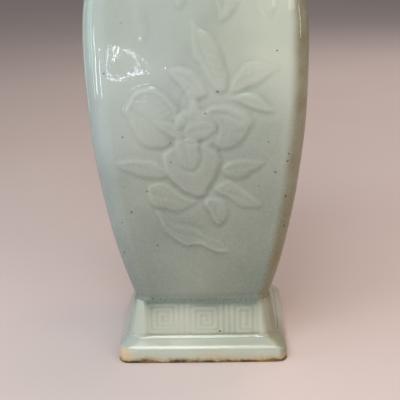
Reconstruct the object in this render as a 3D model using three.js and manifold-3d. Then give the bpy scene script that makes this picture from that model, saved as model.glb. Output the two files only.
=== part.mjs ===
// Square-section hu vase in celadon porcelain, millimetres, +Z up, front face towards -Y.
// It is built as a potter builds a four-sided form: pressed wall slabs that are mitred at the
// rounded corners and luted together, a floor slab let into the foot, a rim and two tube lugs.
// The front and back walls are pressed with a spray of fruit and leaves in low relief, and the
// foot with a key-fret band.

import * as THREE from 'three';
import { mergeVertices } from 'three/addons/utils/BufferGeometryUtils.js';
import Module from 'manifold-3d';

const wasm = await Module();
wasm.setup();

// Foot: an upright plinth with a sloping top, and a tapered collar that carries the fret band.
// From the waist down, each part stands out from the one above it.
const COLLAR_LIP = 0.4;
const COLLAR_FLARE = 4.2;
const PLINTH_STEP = 4.9;
const PLINTH_FACE = 10.5;
const PLINTH_SLOPE = 5;
const PLINTH_CORNER = 6;
const PLINTH_EDGE = 1.4;
const COLLAR_RISE = 20;
const COLLAR_CORNER = 8;
const FOOT_RING = 8;
const FOOT_RING_EDGE = 0.8;

// Body: waist, swelling belly, rolled shoulder. Each rise is measured from the level below.
const WAIST_WIDTH = 80;
const WAIST_RISE = 3;
const BELLY_WIDTH = 122;
const BELLY_RISE = 144;
const BELLY_CORNER = 14;
const BELLY_FULLNESS = 0.865;
const SHOULDER_RISE = 67.5;
const SHOULDER_CURVE = { lowRise: 0.55, highRise: 0.75, highTuck: 0.43 };

// Neck and mouth
const NECK_ROOT_WIDTH = 74;
const NECK_WIDTH = 66;
const NECK_RISE = 43;
const NECK_PINCH_RISE = 18;
const NECK_CURVE = { lowTuck: 0.7, highRise: 0.45 };
const NECK_CORNER = 8;
const MOUTH_WIDTH = 82;
const RIM_HEIGHT = 9;
const RIM_PROUD = 2.8;
const RIM_EDGE = 2;

// A rounded edge has a point at each end and one on the arc between them. The plinth's slope
// rises from its edge to a small hollow at the collar, and the mouth's inner edge is smaller than
// its outer one. These are all shares of the edge's size.
const ARC_MIDDLE = 0.3;
const SLOPE_START_RISE = 0.2;
const HOLLOW = { startDrop: 0.7, endReach: 0.4, endDrop: 0.1 };
const INNER_EDGE = { size: 0.7, arcMiddle: 0.2 };

// Clay and joints
const WALL = 5;
const FLOOR = 5;
const FLOOR_LEDGE = 2.3;
const JOINT = 0.3;

// Tube lugs on the two sides of the neck
const LUG_WIDTH = 20;
const LUG_CORNER = 5;
const LUG_BORE = 11;
const LUG_HEIGHT = 34;

// Low relief. A relief solid starts a little inside the wall that carries it. The fret's lines
// stand in a shallow panel, and its spirals wind at one pitch across and a closer one upwards.
const FRET_DEPTH = 0.8;
const FRET_LINE = 1.4;
const FRET_LIFT = 0.1;
const FRET_PITCH = 3.2;
const FRET_CLIMB = 2.6;
const FRET_MARGIN = 1.4;
const FRET_FOOT = 2.2;
const RELIEF_ROOT = 1;
const RELIEF_SHOULDER = 0.55;
const RELIEF_MARGIN = 1.5;
const DOME_SHOULDER = { inwards: 0.45, lift: 0.93 };
const LEAF_END_HALF = 0.5;
const LEAF_SWELL = { place: 0.85, fullness: 0.8 };
const STEM_TAPER = 0.5;

// The faces bow outwards: the angle by which a face turns from its middle to its end
const FOOT_BOW = THREE.MathUtils.degToRad(1.2);
const BELLY_BOW = THREE.MathUtils.degToRad(2);
const MITRE = THREE.MathUtils.degToRad(45);

// How finely the curved walls are faceted
const FACE_STEPS = 2;
const CORNER_STEPS = 3;
const BELLY_ROWS = 11;
const SHOULDER_ROWS = 6;
const NECK_ROWS = 4;
const LEAF_STEPS = 5;
const FORM_STEPS = 12;
const COLLAR_SHARES = [0.06, 0.5, 1];
const PANEL_SHARES = [-1, -0.5, 0, 0.5, 1];
const BORE_STEPS = 5;

// Half widths of the foot and levels up the pot
const COLLAR_TOP_HALF = WAIST_WIDTH / 2 + COLLAR_LIP;
const COLLAR_FOOT_HALF = COLLAR_TOP_HALF + COLLAR_FLARE;
const PLINTH_HALF = COLLAR_FOOT_HALF + PLINTH_STEP;
const SLOPE_TOP = PLINTH_FACE + PLINTH_SLOPE;
const FOOT_TOP = SLOPE_TOP + COLLAR_RISE;
const WAIST_LEVEL = FOOT_TOP + WAIST_RISE;
const BELLY_LEVEL = WAIST_LEVEL + BELLY_RISE;
const NECK_ROOT = BELLY_LEVEL + SHOULDER_RISE;
const NECK_PINCH = NECK_ROOT + NECK_PINCH_RISE;
const RIM_SEAT = NECK_ROOT + NECK_RISE;
const MOUTH_LEVEL = RIM_SEAT + RIM_HEIGHT;
const FLOOR_TOP = FOOT_TOP - JOINT;

const SIDES = ['front', 'right', 'back', 'left'];
const QUARTER = Math.PI / 2;
const { lerp, clamp } = THREE.MathUtils;

const vase = new THREE.Group();

// Each piece has its own glaze material; a quarter turn takes the front piece to the next side
function addPiece(name, geometry, color, quarterTurns = 0) {
  geometry.computeVertexNormals();
  const glaze = new THREE.MeshStandardMaterial({ color, roughness: 0.12, metalness: 0 });
  const mesh = new THREE.Mesh(geometry, glaze);
  mesh.name = name;
  mesh.rotation.z = quarterTurns * QUARTER;
  vase.add(mesh);
}

const BODY_GLAZE = 0xb4bdae;
const FOOT_GLAZE = 0xb9bfa8;
const INNER_GLAZE = 0xaab3a4;

function geometryFrom(points, triangles) {
  const geometry = new THREE.BufferGeometry();
  geometry.setAttribute('position', new THREE.Float32BufferAttribute(points.flat(), 3));
  geometry.setIndex(triangles.flat());
  return geometry;
}

function toSolid(geometry) {
  const bare = geometry.clone();
  bare.deleteAttribute('normal');
  bare.deleteAttribute('uv');
  const merged = mergeVertices(bare, 1e-5);
  return new wasm.Manifold(new wasm.Mesh({
    numProp: 3,
    vertProperties: new Float32Array(merged.attributes.position.array),
    triVerts: new Uint32Array(merged.index.array),
  }));
}

function fromSolid(solid) {
  const mesh = solid.getMesh();
  const geometry = new THREE.BufferGeometry();
  const position = new THREE.BufferAttribute(new Float32Array(mesh.vertProperties), 3);
  geometry.setAttribute('position', position);
  geometry.setIndex(new THREE.BufferAttribute(new Uint32Array(mesh.triVerts), 1));
  return geometry;
}

// A level of the pot is a rounded square: half its width, its height, the radius of its
// corners and the bow of its faces.
function level(half, z, corner, bow) {
  return { half, z, corner, bow };
}

// The outline of one side at a level, for one direction of its normal: x across, d outwards.
// The face is a wide arc, and the corner arc runs on from it without a kink.
function sidePoint(at, angle) {
  const span = (at.half - at.corner) / (1 + Math.sin(at.bow) - Math.cos(at.bow));
  const turn = Math.abs(angle);
  const bend = Math.min(turn, at.bow);
  return {
    x: Math.sign(angle) * (span * Math.sin(bend) + at.corner * Math.sin(turn)),
    d: at.half - span - at.corner + span * Math.cos(bend) + at.corner * Math.cos(turn),
  };
}

// How far out the same outline lies at a given x
function sideDistance(at, x) {
  const span = (at.half - at.corner) / (1 + Math.sin(at.bow) - Math.cos(at.bow));
  const radius = span + at.corner;
  if (Math.abs(x) <= radius * Math.sin(at.bow)) {
    return at.half - radius + Math.sqrt(radius * radius - x * x);
  }
  const reach = Math.min(Math.abs(x) - span * Math.sin(at.bow), at.corner);
  const centre = at.half - radius + span * Math.cos(at.bow);
  return centre + Math.sqrt(at.corner * at.corner - reach * reach);
}

// Directions round one side, as shares: the face lies between -0.5 and 0.5, the mitres at 1
function sideShares() {
  const shares = [];
  for (let i = CORNER_STEPS; i >= 1; i -= 1) shares.push(-0.5 - 0.5 * i / CORNER_STEPS);
  for (let i = -FACE_STEPS; i <= FACE_STEPS; i += 1) shares.push(0.5 * i / FACE_STEPS);
  for (let i = 1; i <= CORNER_STEPS; i += 1) shares.push(0.5 + 0.5 * i / CORNER_STEPS);
  return shares;
}

function shareAngle(share, bow) {
  const place = 2 * Math.abs(share);
  const turn = place <= 1 ? bow * place : lerp(bow, MITRE, place - 1);
  return Math.sign(share) * turn;
}

// All round the pot: the same directions on its four sides
function roundPoints(at) {
  const points = [];
  for (let side = 0; side < SIDES.length; side += 1) {
    const cos = Math.cos(side * QUARTER);
    const sin = Math.sin(side * QUARTER);
    for (const share of sideShares().slice(0, -1)) {
      const p = sidePoint(at, shareAngle(share, at.bow));
      points.push([p.x * cos + p.d * sin, p.x * sin - p.d * cos, at.z]);
    }
  }
  return points;
}

// Sweeps a closed profile of levels round one side, from mitre to mitre. The profile runs up
// the outside and down the inside, and each mitre stops half a joint short of the next wall.
function wallSlab(profile) {
  const shares = sideShares();
  const count = profile.length;
  const gap = JOINT / 2 * Math.SQRT1_2;
  const points = [];
  for (const share of shares) {
    const short = Math.abs(share) === 1 ? gap : 0;
    for (const at of profile) {
      const p = sidePoint(at, shareAngle(share, at.bow));
      points.push([p.x - Math.sign(share) * short, -(p.d + short), at.z]);
    }
  }
  const triangles = [];
  for (let i = 0; i < shares.length - 1; i += 1) {
    for (let j = 0; j < count; j += 1) {
      const a = i * count + j;
      const b = i * count + (j + 1) % count;
      triangles.push([a, a + count, b + count], [a, b + count, b]);
    }
  }
  const loop = profile.map((at) => new THREE.Vector2(at.half, at.z));
  const last = (shares.length - 1) * count;
  for (const [a, b, c] of THREE.ShapeUtils.triangulateShape(loop, [])) {
    triangles.push([a, b, c], [last + a, last + c, last + b]);
  }
  return geometryFrom(points, triangles);
}

// Sweeps a closed profile of levels all the way round
function ring(profile) {
  const loops = profile.map(roundPoints);
  const round = loops[0].length;
  const triangles = [];
  for (let k = 0; k < loops.length; k += 1) {
    const next = (k + 1) % loops.length;
    for (let i = 0; i < round; i += 1) {
      const j = (i + 1) % round;
      const [a, b] = [k * round + i, k * round + j];
      const [c, d] = [next * round + j, next * round + i];
      triangles.push([a, b, c], [a, c, d]);
    }
  }
  return geometryFrom(loops.flat(), triangles);
}

// A solid block through a stack of levels, from the lowest to the highest
function block(levels) {
  const loops = levels.map(roundPoints);
  const round = loops[0].length;
  const top = (loops.length - 1) * round;
  const triangles = [];
  for (let k = 0; k < top; k += round) {
    for (let i = 0; i < round; i += 1) {
      const j = (i + 1) % round;
      triangles.push([k + i, k + j, k + round + j], [k + i, k + round + j, k + round + i]);
    }
  }
  for (let i = 1; i < round - 1; i += 1) {
    triangles.push([0, i + 1, i], [top, top + i, top + i + 1]);
  }
  return geometryFrom(loops.flat(), triangles);
}

// The pot's outer level at any height, between the levels of an outline
function levelAt(outline, z) {
  let k = 1;
  while (k < outline.length - 1 && outline[k].z < z) k += 1;
  const [low, high] = [outline[k - 1], outline[k]];
  const share = clamp((z - low.z) / (high.z - low.z), 0, 1);
  return level(
    lerp(low.half, high.half, share),
    z,
    lerp(low.corner, high.corner, share),
    lerp(low.bow, high.bow, share),
  );
}

// Belly: in from the crease to the waist, then a fuller quarter wave to the widest level
function bellyLevel(z) {
  const crease = clamp((WAIST_LEVEL - z) / WAIST_RISE, 0, 1);
  const rise = clamp((z - WAIST_LEVEL) / BELLY_RISE, 0, 1);
  const swell = (BELLY_WIDTH - WAIST_WIDTH) / 2 * Math.sin(rise ** BELLY_FULLNESS * Math.PI / 2);
  const half = WAIST_WIDTH / 2 + COLLAR_LIP * crease ** 2 + swell;
  return level(half, z, lerp(COLLAR_CORNER, BELLY_CORNER, rise), lerp(FOOT_BOW, BELLY_BOW, rise));
}

function bellyOutline() {
  const outline = [bellyLevel(FOOT_TOP), bellyLevel(FOOT_TOP + WAIST_RISE / 2)];
  for (let i = 0; i < BELLY_ROWS; i += 1) {
    outline.push(bellyLevel(WAIST_LEVEL + BELLY_RISE * i / BELLY_ROWS));
  }
  const belly = BELLY_WIDTH / 2;
  const tuck = belly - NECK_ROOT_WIDTH / 2;
  const curve = SHOULDER_CURVE;
  const shoulder = new THREE.CubicBezierCurve(
    new THREE.Vector2(belly, BELLY_LEVEL),
    new THREE.Vector2(belly, BELLY_LEVEL + SHOULDER_RISE * curve.lowRise),
    new THREE.Vector2(belly - tuck * curve.highTuck, BELLY_LEVEL + SHOULDER_RISE * curve.highRise),
    new THREE.Vector2(belly - tuck, NECK_ROOT),
  );
  for (let i = 0; i <= SHOULDER_ROWS; i += 1) {
    const share = i / SHOULDER_ROWS;
    const at = shoulder.getPoint(share);
    const corner = lerp(BELLY_CORNER, NECK_CORNER, share);
    outline.push(level(at.x, at.y, corner, lerp(BELLY_BOW, FOOT_BOW, share)));
  }
  return outline;
}

// Neck: runs on from the shoulder, pinches in and flares to the seat of the rim
const RIM_SEAT_HALF = MOUTH_WIDTH / 2 - RIM_PROUD;

function neckOutline() {
  const root = NECK_ROOT_WIDTH / 2;
  const pinch = NECK_WIDTH / 2;
  const tuck = root - pinch;
  const lower = new THREE.CubicBezierCurve(
    new THREE.Vector2(root, NECK_ROOT),
    new THREE.Vector2(root - tuck * NECK_CURVE.lowTuck, NECK_ROOT + tuck),
    new THREE.Vector2(pinch, NECK_PINCH - NECK_PINCH_RISE * NECK_CURVE.highRise),
    new THREE.Vector2(pinch, NECK_PINCH),
  );
  const flare = new THREE.QuadraticBezierCurve(
    new THREE.Vector2(pinch, NECK_PINCH),
    new THREE.Vector2(pinch, (NECK_PINCH + RIM_SEAT) / 2),
    new THREE.Vector2(RIM_SEAT_HALF, RIM_SEAT),
  );
  const outline = [];
  const add = (at) => outline.push(level(at.x, at.y, NECK_CORNER, FOOT_BOW));
  for (let i = 0; i < NECK_ROWS; i += 1) add(lower.getPoint(i / NECK_ROWS));
  for (let i = 0; i <= NECK_ROWS; i += 1) add(flare.getPoint(i / NECK_ROWS));
  return outline;
}

// Closes an outline into a wall profile. The inside follows at one wall's thickness, and both
// ends stop half a joint short of the neighbouring piece. The end that meets the foot or the
// rim is cut level, and the end where belly and neck meet is cut square to the wall.
function wallProfile(outline, levelEnd) {
  const outer = outline.map((at) => ({ ...at }));
  const last = outer.length - 1;
  const pullBack = (end, next) => {
    const share = JOINT / 2 / Math.hypot(next.half - end.half, next.z - end.z);
    end.half = lerp(end.half, next.half, share);
    end.z = lerp(end.z, next.z, share);
  };
  pullBack(outer[0], outer[1]);
  pullBack(outer[last], outer[last - 1]);
  const inner = outer.map((at, i) => {
    const before = outer[Math.max(i - 1, 0)];
    const after = outer[Math.min(i + 1, last)];
    const run = Math.hypot(after.half - before.half, after.z - before.z);
    const isLevel = i === (levelEnd === 'bottom' ? 0 : last);
    const out = isLevel ? 1 : (after.z - before.z) / run;
    const up = isLevel ? 0 : (after.half - before.half) / run;
    const corner = Math.max(at.corner - WALL, WALL / 2);
    return level(at.half - WALL * out, at.z + WALL * up, corner, at.bow);
  });
  return [...outer, ...inner.reverse()];
}

// Foot wall: flat ring to stand on, rounded plinth, sloping top, tapered collar with a straight
// top, and inside it the ledge that the floor slab sits on
const FLOOR_HALF = COLLAR_TOP_HALF - WALL + FLOOR_LEDGE / 2;

function collarLevel(z) {
  const rise = clamp((z - SLOPE_TOP) / COLLAR_RISE, 0, 1);
  return level(lerp(COLLAR_FOOT_HALF, COLLAR_TOP_HALF, rise), z, COLLAR_CORNER, FOOT_BOW);
}

function footProfile() {
  const half = PLINTH_HALF;
  const edge = PLINTH_EDGE;
  const arc = edge * ARC_MIDDLE;
  const outside = [
    [half - edge, 0], [half - arc, arc], [half, edge],
    [half, PLINTH_FACE - edge], [half - arc, PLINTH_FACE - arc],
    [half - edge, PLINTH_FACE + edge * SLOPE_START_RISE],
    [COLLAR_FOOT_HALF + edge, SLOPE_TOP - edge * HOLLOW.startDrop],
    [COLLAR_FOOT_HALF + edge * HOLLOW.endReach, SLOPE_TOP - edge * HOLLOW.endDrop],
  ].map(([at, z]) => level(at, z, PLINTH_CORNER, FOOT_BOW));
  const collar = COLLAR_SHARES.map((share) => collarLevel(
    lerp(SLOPE_TOP, FOOT_TOP - JOINT / 2, share),
  ));
  const ledge = FLOOR_TOP - FLOOR - JOINT;
  const inside = [
    [FLOOR_HALF + JOINT, FOOT_TOP - JOINT / 2], [FLOOR_HALF + JOINT, ledge],
    [FLOOR_HALF - FLOOR_LEDGE, ledge], [FLOOR_HALF - FLOOR_LEDGE, PLINTH_FACE],
    [half - FOOT_RING, FOOT_RING_EDGE], [half - FOOT_RING + FOOT_RING_EDGE, 0],
  ].map(([at, z]) => level(at, z, WALL, FOOT_BOW));
  return [...outside, ...collar, ...inside];
}

// A flat shape on the wall, from one distance behind the surface to another in front of it
function flatShape(outline, behind, ahead, surface) {
  const loop = outline.map(([x, z]) => new THREE.Vector2(x, z));
  if (THREE.ShapeUtils.isClockWise(loop)) loop.reverse();
  const count = loop.length;
  const front = loop.map((p) => [p.x, -(surface(p.x, p.y) + ahead), p.y]);
  const back = loop.map((p) => [p.x, -(surface(p.x, p.y) - behind), p.y]);
  const triangles = [];
  for (const [a, b, c] of THREE.ShapeUtils.triangulateShape(loop, [])) {
    triangles.push([a, b, c], [count + a, count + c, count + b]);
  }
  for (let i = 0; i < count; i += 1) {
    const j = (i + 1) % count;
    triangles.push([i, count + i, count + j], [i, count + j, j]);
  }
  return geometryFrom([...front, ...back], triangles);
}

// Widens a line of upright and level strokes into a closed outline
function strokeOutline(line) {
  const left = [];
  const right = [];
  line.forEach(([x, z], i) => {
    const before = line[Math.max(i - 1, 0)];
    const after = line[Math.min(i + 1, line.length - 1)];
    const across = -Math.sign(after[1] - z) - Math.sign(z - before[1]);
    const up = Math.sign(after[0] - x) + Math.sign(x - before[0]);
    const offset = [clamp(across, -1, 1) * FRET_LINE / 2, clamp(up, -1, 1) * FRET_LINE / 2];
    left.push([x + offset[0], z + offset[1]]);
    right.push([x - offset[0], z - offset[1]]);
  });
  return [...left, ...right.reverse()];
}

// Square spiral of the fret: one line that starts at the lower right and winds inwards
function squareSpiral(left, right, bottom, top) {
  let [x0, x1, z0, z1] = [left, right, bottom, top];
  const line = [[x1, z0]];
  while (x1 - x0 > FRET_PITCH && z1 - z0 > FRET_CLIMB) {
    line.push([x0, z0], [x0, z1], [x1, z1]);
    z0 += FRET_CLIMB;
    line.push([x1, z0]);
    [x0, x1, z1] = [x0 + FRET_PITCH, x1 - FRET_PITCH, z1 - FRET_CLIMB];
  }
  return strokeOutline(line);
}

// Fret band: three spirals, each narrower than the last, parted by upright bars. Each is given
// by its share of the width, the bars after it, and how far it stays below the first one's top.
const FRET_PARTS = [
  { share: 0.44, bars: 2, drop: 0 },
  { share: 0.36, bars: 3, drop: 1.8 },
  { share: 0.2, bars: 1, drop: 1.8 },
];
const FRET_HALF = COLLAR_TOP_HALF - COLLAR_CORNER;

function fretShapes() {
  const bottom = SLOPE_TOP + FRET_FOOT;
  const top = FOOT_TOP - FRET_FOOT;
  const half = FRET_HALF - FRET_MARGIN;
  const gaps = FRET_PARTS.reduce((sum, { bars }) => sum + bars + 1, -1);
  const spirals = 2 * half - gaps * FRET_PITCH;
  const shapes = [];
  let x = -half;
  for (const { share, bars, drop } of FRET_PARTS) {
    const right = x + spirals * share;
    shapes.push(squareSpiral(x, right, bottom, top - drop));
    for (let i = 1; i <= bars; i += 1) {
      const bar = right + i * FRET_PITCH;
      shapes.push(strokeOutline([[bar, bottom], [bar, top - drop]]));
    }
    x = right + (bars + 1) * FRET_PITCH;
  }
  return shapes;
}

// Long relief form that follows a path on the wall: rounded across, widest where half says.
// The path's points are x from the middle and height above the widest level.
function reliefBand(path, half, lift, surface) {
  const points = [];
  for (let i = 0; i <= LEAF_STEPS; i += 1) {
    const share = i / LEAF_STEPS;
    const at = path.getPoint(share);
    const along = path.getTangent(share);
    const reach = half(share);
    const across = [[-1, -RELIEF_ROOT], [-1, lift * RELIEF_SHOULDER], [0, lift],
      [1, lift * RELIEF_SHOULDER], [1, -RELIEF_ROOT]];
    for (const [side, rise] of across) {
      const x = at.x + along.y * reach * side;
      const z = BELLY_LEVEL + at.y - along.x * reach * side;
      points.push([x, -(surface(x, z) + rise), z]);
    }
  }
  const count = 5;
  const last = LEAF_STEPS * count;
  const triangles = [];
  for (let i = 0; i < last; i += count) {
    for (let k = 0; k < count; k += 1) {
      const n = (k + 1) % count;
      triangles.push([i + k, i + n, i + count + n], [i + k, i + count + n, i + count + k]);
    }
  }
  for (let k = 1; k < count - 1; k += 1) {
    triangles.push([0, k + 1, k], [last, last + k, last + k + 1]);
  }
  return geometryFrom(points, triangles);
}

// A leaf runs from its base to a pointed tip; bow swings its middle to the left of that line
function leaf({ base, tip, width, bow, lift }, surface) {
  const [dx, dz] = [tip[0] - base[0], tip[1] - base[1]];
  const run = Math.hypot(dx, dz);
  const middle = new THREE.Vector2(
    (base[0] + tip[0]) / 2 - dz / run * 2 * bow,
    (base[1] + tip[1]) / 2 + dx / run * 2 * bow,
  );
  const path = new THREE.QuadraticBezierCurve(
    new THREE.Vector2(...base),
    middle,
    new THREE.Vector2(...tip),
  );
  const swell = (share) => Math.sin(Math.PI * share ** LEAF_SWELL.place) ** LEAF_SWELL.fullness;
  const half = (share) => LEAF_END_HALF + (width / 2 - LEAF_END_HALF) * swell(share);
  return reliefBand(path, half, lift, surface);
}

// A stem or tendril follows a smooth line and thins out towards its end
function stem({ line, width, lift }, surface) {
  const path = new THREE.SplineCurve(line.map((p) => new THREE.Vector2(...p)));
  const half = (share) => width / 2 * (1 - STEM_TAPER * share);
  return reliefBand(path, half, lift, surface);
}

// A swelling form, such as a fruit or a petal, inside a smooth closed outline
function dome({ outline, lift }, surface) {
  const curve = new THREE.SplineCurve([...outline, outline[0]].map((p) => new THREE.Vector2(...p)));
  const loop = curve.getPoints(FORM_STEPS).slice(0, -1);
  if (THREE.ShapeUtils.isClockWise(loop)) loop.reverse();
  const centre = loop.reduce((sum, p) => sum.add(p), new THREE.Vector2()).divideScalar(loop.length);
  const points = [];
  const put = (p, rise) => {
    const z = BELLY_LEVEL + p.y;
    points.push([p.x, -(surface(p.x, z) + rise), z]);
  };
  loop.forEach((p) => put(p, -RELIEF_ROOT));
  loop.forEach((p) => put(p, lift * RELIEF_SHOULDER));
  loop.forEach((p) => put(p.clone().lerp(centre, DOME_SHOULDER.inwards), lift * DOME_SHOULDER.lift));
  put(centre, lift);
  const count = loop.length;
  const triangles = [];
  for (let i = 0; i < count; i += 1) {
    const j = (i + 1) % count;
    for (const low of [0, count]) {
      triangles.push([low + i, low + j, low + count + j], [low + i, low + count + j, low + count + i]);
    }
    triangles.push([2 * count + i, 2 * count + j, 3 * count]);
  }
  for (const [a, b, c] of THREE.ShapeUtils.triangulateShape(loop, [])) triangles.push([a, c, b]);
  return geometryFrom(points, triangles);
}

// The spray: x from the middle of the face, z above the widest level. A branch comes down from
// the shoulder and passes behind a broad petal of the fruit, which has leaves all round.
const BRANCH = {
  width: 7,
  lift: 0.9,
  line: [[-31, 42], [-28.5, 26], [-26.5, 10], [-23, -8], [-20, -24]],
};

const DOMES = {
  leftPetal: {
    lift: 1.2,
    outline: [
      [-39, -30], [-31, -22], [-16, -22.5], [-8, -33],
      [-9, -45.5], [-19, -53], [-30, -50], [-36, -39.5],
    ],
  },
  rightPetal: {
    lift: 1.2,
    outline: [[9, -53], [18, -53.5], [26, -47], [30.5, -37], [23, -29.5], [12, -27], [3.5, -31]],
  },
  fruit: {
    lift: 1.9,
    outline: [
      [-20, -57], [-19, -66.5], [-12, -75], [-2, -81.5], [4, -79],
      [9, -71], [12.5, -60.5], [7, -49.5], [-13, -48],
    ],
  },
  fruitLobe: { lift: 2.4, outline: [[-10.5, -46], [-11.5, -57], [-4.5, -64.5], [1.2, -58], [0, -46]] },
  calyx: {
    lift: 2.3,
    outline: [[-7.5, -42], [-4, -37], [4, -36], [10.5, -42], [5, -47.5], [-4, -48]],
  },
  knob: { lift: 1.9, outline: [[-12, -36], [-9, -32.5], [-5.5, -37.5], [-9.5, -42]] },
  lowerLeftLeaf: {
    lift: 1,
    outline: [
      [-28.5, -77], [-25, -71], [-14, -72], [-3, -81],
      [-5.5, -88], [-12.5, -90], [-25, -87],
    ],
  },
  bud: {
    lift: 1.3,
    outline: [[2, -81], [3, -88], [7, -95.5], [11, -98.5], [15.5, -92], [14, -83], [8, -79]],
  },
  centreLeaf: { lift: 0.7, outline: [[-13, -92], [-4, -86], [3, -87], [6, -95], [1, -99], [-8, -98]] },
  highMiddleLeaf: {
    lift: 1,
    outline: [[6, 37], [9, 28], [12.5, 15], [19, 17.5], [23.5, 27], [21, 38], [14, 43.5]],
  },
  highRightLeaf: {
    lift: 1,
    outline: [[27, 37], [29, 25], [36.5, 15.5], [41.5, 21], [41, 31], [36, 41]],
  },
};

const LEAVES = {
  calyxLeft: { base: [-8, -45], tip: [-25, -36], width: 8.5, bow: -0.5, lift: 1.6 },
  top: { base: [14, -21], tip: [-1.5, 17.5], width: 15, bow: 0, lift: 1.1 },
  upperLeft: { base: [3.5, -25], tip: [-15, -9], width: 13, bow: -2, lift: 1.1 },
  upperRight: { base: [16, -22], tip: [44.5, -8.7], width: 13, bow: 3, lift: 1 },
  middleRight: { base: [16, -25], tip: [42.5, -32.8], width: 10, bow: 1.5, lift: 1 },
  left: { base: [-15.5, -67], tip: [-45, -60.5], width: 13.5, bow: 0, lift: 1.1 },
  right: { base: [12, -66.5], tip: [36.5, -61], width: 13.5, bow: -0.5, lift: 1.1 },
  lowerRight: { base: [7.5, -74.5], tip: [35, -87.5], width: 13, bow: 0.5, lift: 1.1 },
  ribbon: { base: [-25, -86.5], tip: [17, -115], width: 12, bow: -3.5, lift: 1 },
  highLeft: { base: [-8, 38], tip: [-8, 21], width: 9, bow: 0, lift: 0.8 },
};

// The relief stops short of the mitres, where the pressed slab is trimmed
function trimWedge() {
  const reach = BELLY_WIDTH;
  const wedge = new THREE.Shape();
  wedge.moveTo(0, -RELIEF_MARGIN);
  wedge.lineTo(-reach, -reach - RELIEF_MARGIN);
  wedge.lineTo(reach, -reach - RELIEF_MARGIN);
  return new THREE.ExtrudeGeometry(wedge, { depth: MOUTH_LEVEL, bevelEnabled: false });
}

function pressedWith(wall, reliefs) {
  const wedge = toSolid(trimWedge());
  const raised = reliefs.map((relief) => toSolid(relief).intersect(wedge));
  return fromSolid(raised.reduce((solid, relief) => solid.add(relief), toSolid(wall)));
}

// Foot walls: the collar's panel is sunk to the crease, and the fret stands in it
const collarSurface = (x, z) => sideDistance(collarLevel(z), x);
const panelFoot = SLOPE_TOP + FRET_FOOT - FRET_MARGIN;
const panelTop = FOOT_TOP + JOINT;
const panelAcross = PANEL_SHARES.map((share) => share * FRET_HALF);
const panel = [
  ...panelAcross.map((x) => [x, panelFoot]),
  ...panelAcross.map((x) => [-x, panelTop]),
];
const sunk = toSolid(flatShape(panel, FRET_DEPTH, RELIEF_ROOT, collarSurface));
const collarWall = fromSolid(toSolid(wallSlab(footProfile())).subtract(sunk));
const fretRoot = FRET_DEPTH + RELIEF_ROOT;
const fret = fretShapes().map((shape) => flatShape(shape, fretRoot, FRET_LIFT, collarSurface));
const footWall = pressedWith(collarWall, fret);
SIDES.forEach((side, turns) => addPiece(`foot_${side}_wall`, footWall.clone(), FOOT_GLAZE, turns));

// Floor slab, let into the ledge inside the foot
const floorLevels = [FLOOR_TOP - FLOOR, FLOOR_TOP].map((z) => level(FLOOR_HALF, z, WALL, FOOT_BOW));
addPiece('floor_slab', block(floorLevels), INNER_GLAZE);

// Belly walls: the front and the back carry the spray, the two sides are plain
const belly = bellyOutline();
const bellySurface = (x, z) => sideDistance(levelAt(belly, z), x);
const plainBelly = wallSlab(wallProfile(belly, 'bottom'));
const spray = [
  stem(BRANCH, bellySurface),
  ...Object.values(LEAVES).map((form) => leaf(form, bellySurface)),
  ...Object.values(DOMES).map((form) => dome(form, bellySurface)),
];
const sprayBelly = pressedWith(plainBelly, spray);
SIDES.forEach((side, turns) => {
  const wall = turns % 2 === 0 ? sprayBelly : plainBelly;
  addPiece(`belly_${side}_wall`, wall.clone(), BODY_GLAZE, turns);
});

// Neck walls
const neck = neckOutline();
const neckWall = wallSlab(wallProfile(neck, 'top'));
SIDES.forEach((side, turns) => addPiece(`neck_${side}_wall`, neckWall.clone(), BODY_GLAZE, turns));

// Mouth rim: a rounded band that stands proud of the neck, flat on top
function rimProfile() {
  const seat = RIM_SEAT + JOINT / 2;
  const out = MOUTH_WIDTH / 2;
  const inside = RIM_SEAT_HALF - WALL;
  const edge = RIM_EDGE;
  const arc = edge * ARC_MIDDLE;
  const inner = edge * INNER_EDGE.size;
  const innerArc = edge * INNER_EDGE.arcMiddle;
  const outline = [
    [inside, seat], [RIM_SEAT_HALF, seat], [out - arc, seat + arc],
    [out, seat + edge], [out, MOUTH_LEVEL - edge], [out - arc, MOUTH_LEVEL - arc],
    [out - edge, MOUTH_LEVEL], [inside + inner, MOUTH_LEVEL],
    [inside + innerArc, MOUTH_LEVEL - innerArc], [inside, MOUTH_LEVEL - inner],
  ];
  return outline.map(([half, z]) => level(half, z, NECK_CORNER, FOOT_BOW));
}
addPiece('mouth_rim', ring(rimProfile()), BODY_GLAZE);

// Tube lugs: square tubes with rounded corners and a round bore, cut to the neck's own curve
function lugGeometry() {
  const flat = LUG_WIDTH / 2 - LUG_CORNER;
  const outline = new THREE.Shape();
  [[1, -1], [1, 1], [-1, 1], [-1, -1]].forEach(([x, y], i) => {
    const start = (i - 1) * QUARTER;
    outline.absarc(x * flat, y * flat, LUG_CORNER, start, start + QUARTER, false);
  });
  const bore = new THREE.Path();
  bore.absarc(0, 0, LUG_BORE / 2, 0, 2 * Math.PI, true);
  outline.holes.push(bore);
  const settings = { depth: LUG_HEIGHT, bevelEnabled: false, curveSegments: BORE_STEPS };
  return new THREE.ExtrudeGeometry(outline, settings);
}

const clearance = (at) => level(at.half + JOINT, at.z, at.corner + JOINT, at.bow);
const neckBlock = toSolid(block([...belly.slice(-SHOULDER_ROWS), ...neck.slice(1)].map(clearance)));
const lugCentre = NECK_WIDTH / 2 + JOINT + LUG_WIDTH / 2;
const lugBottom = NECK_PINCH - LUG_HEIGHT / 2 + JOINT;
for (const [name, side] of [['left_lug', -1], ['right_lug', 1]]) {
  const lug = lugGeometry();
  lug.translate(side * lugCentre, 0, lugBottom);
  addPiece(name, fromSolid(toSolid(lug).subtract(neckBlock)), BODY_GLAZE);
}

export default vase;
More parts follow.
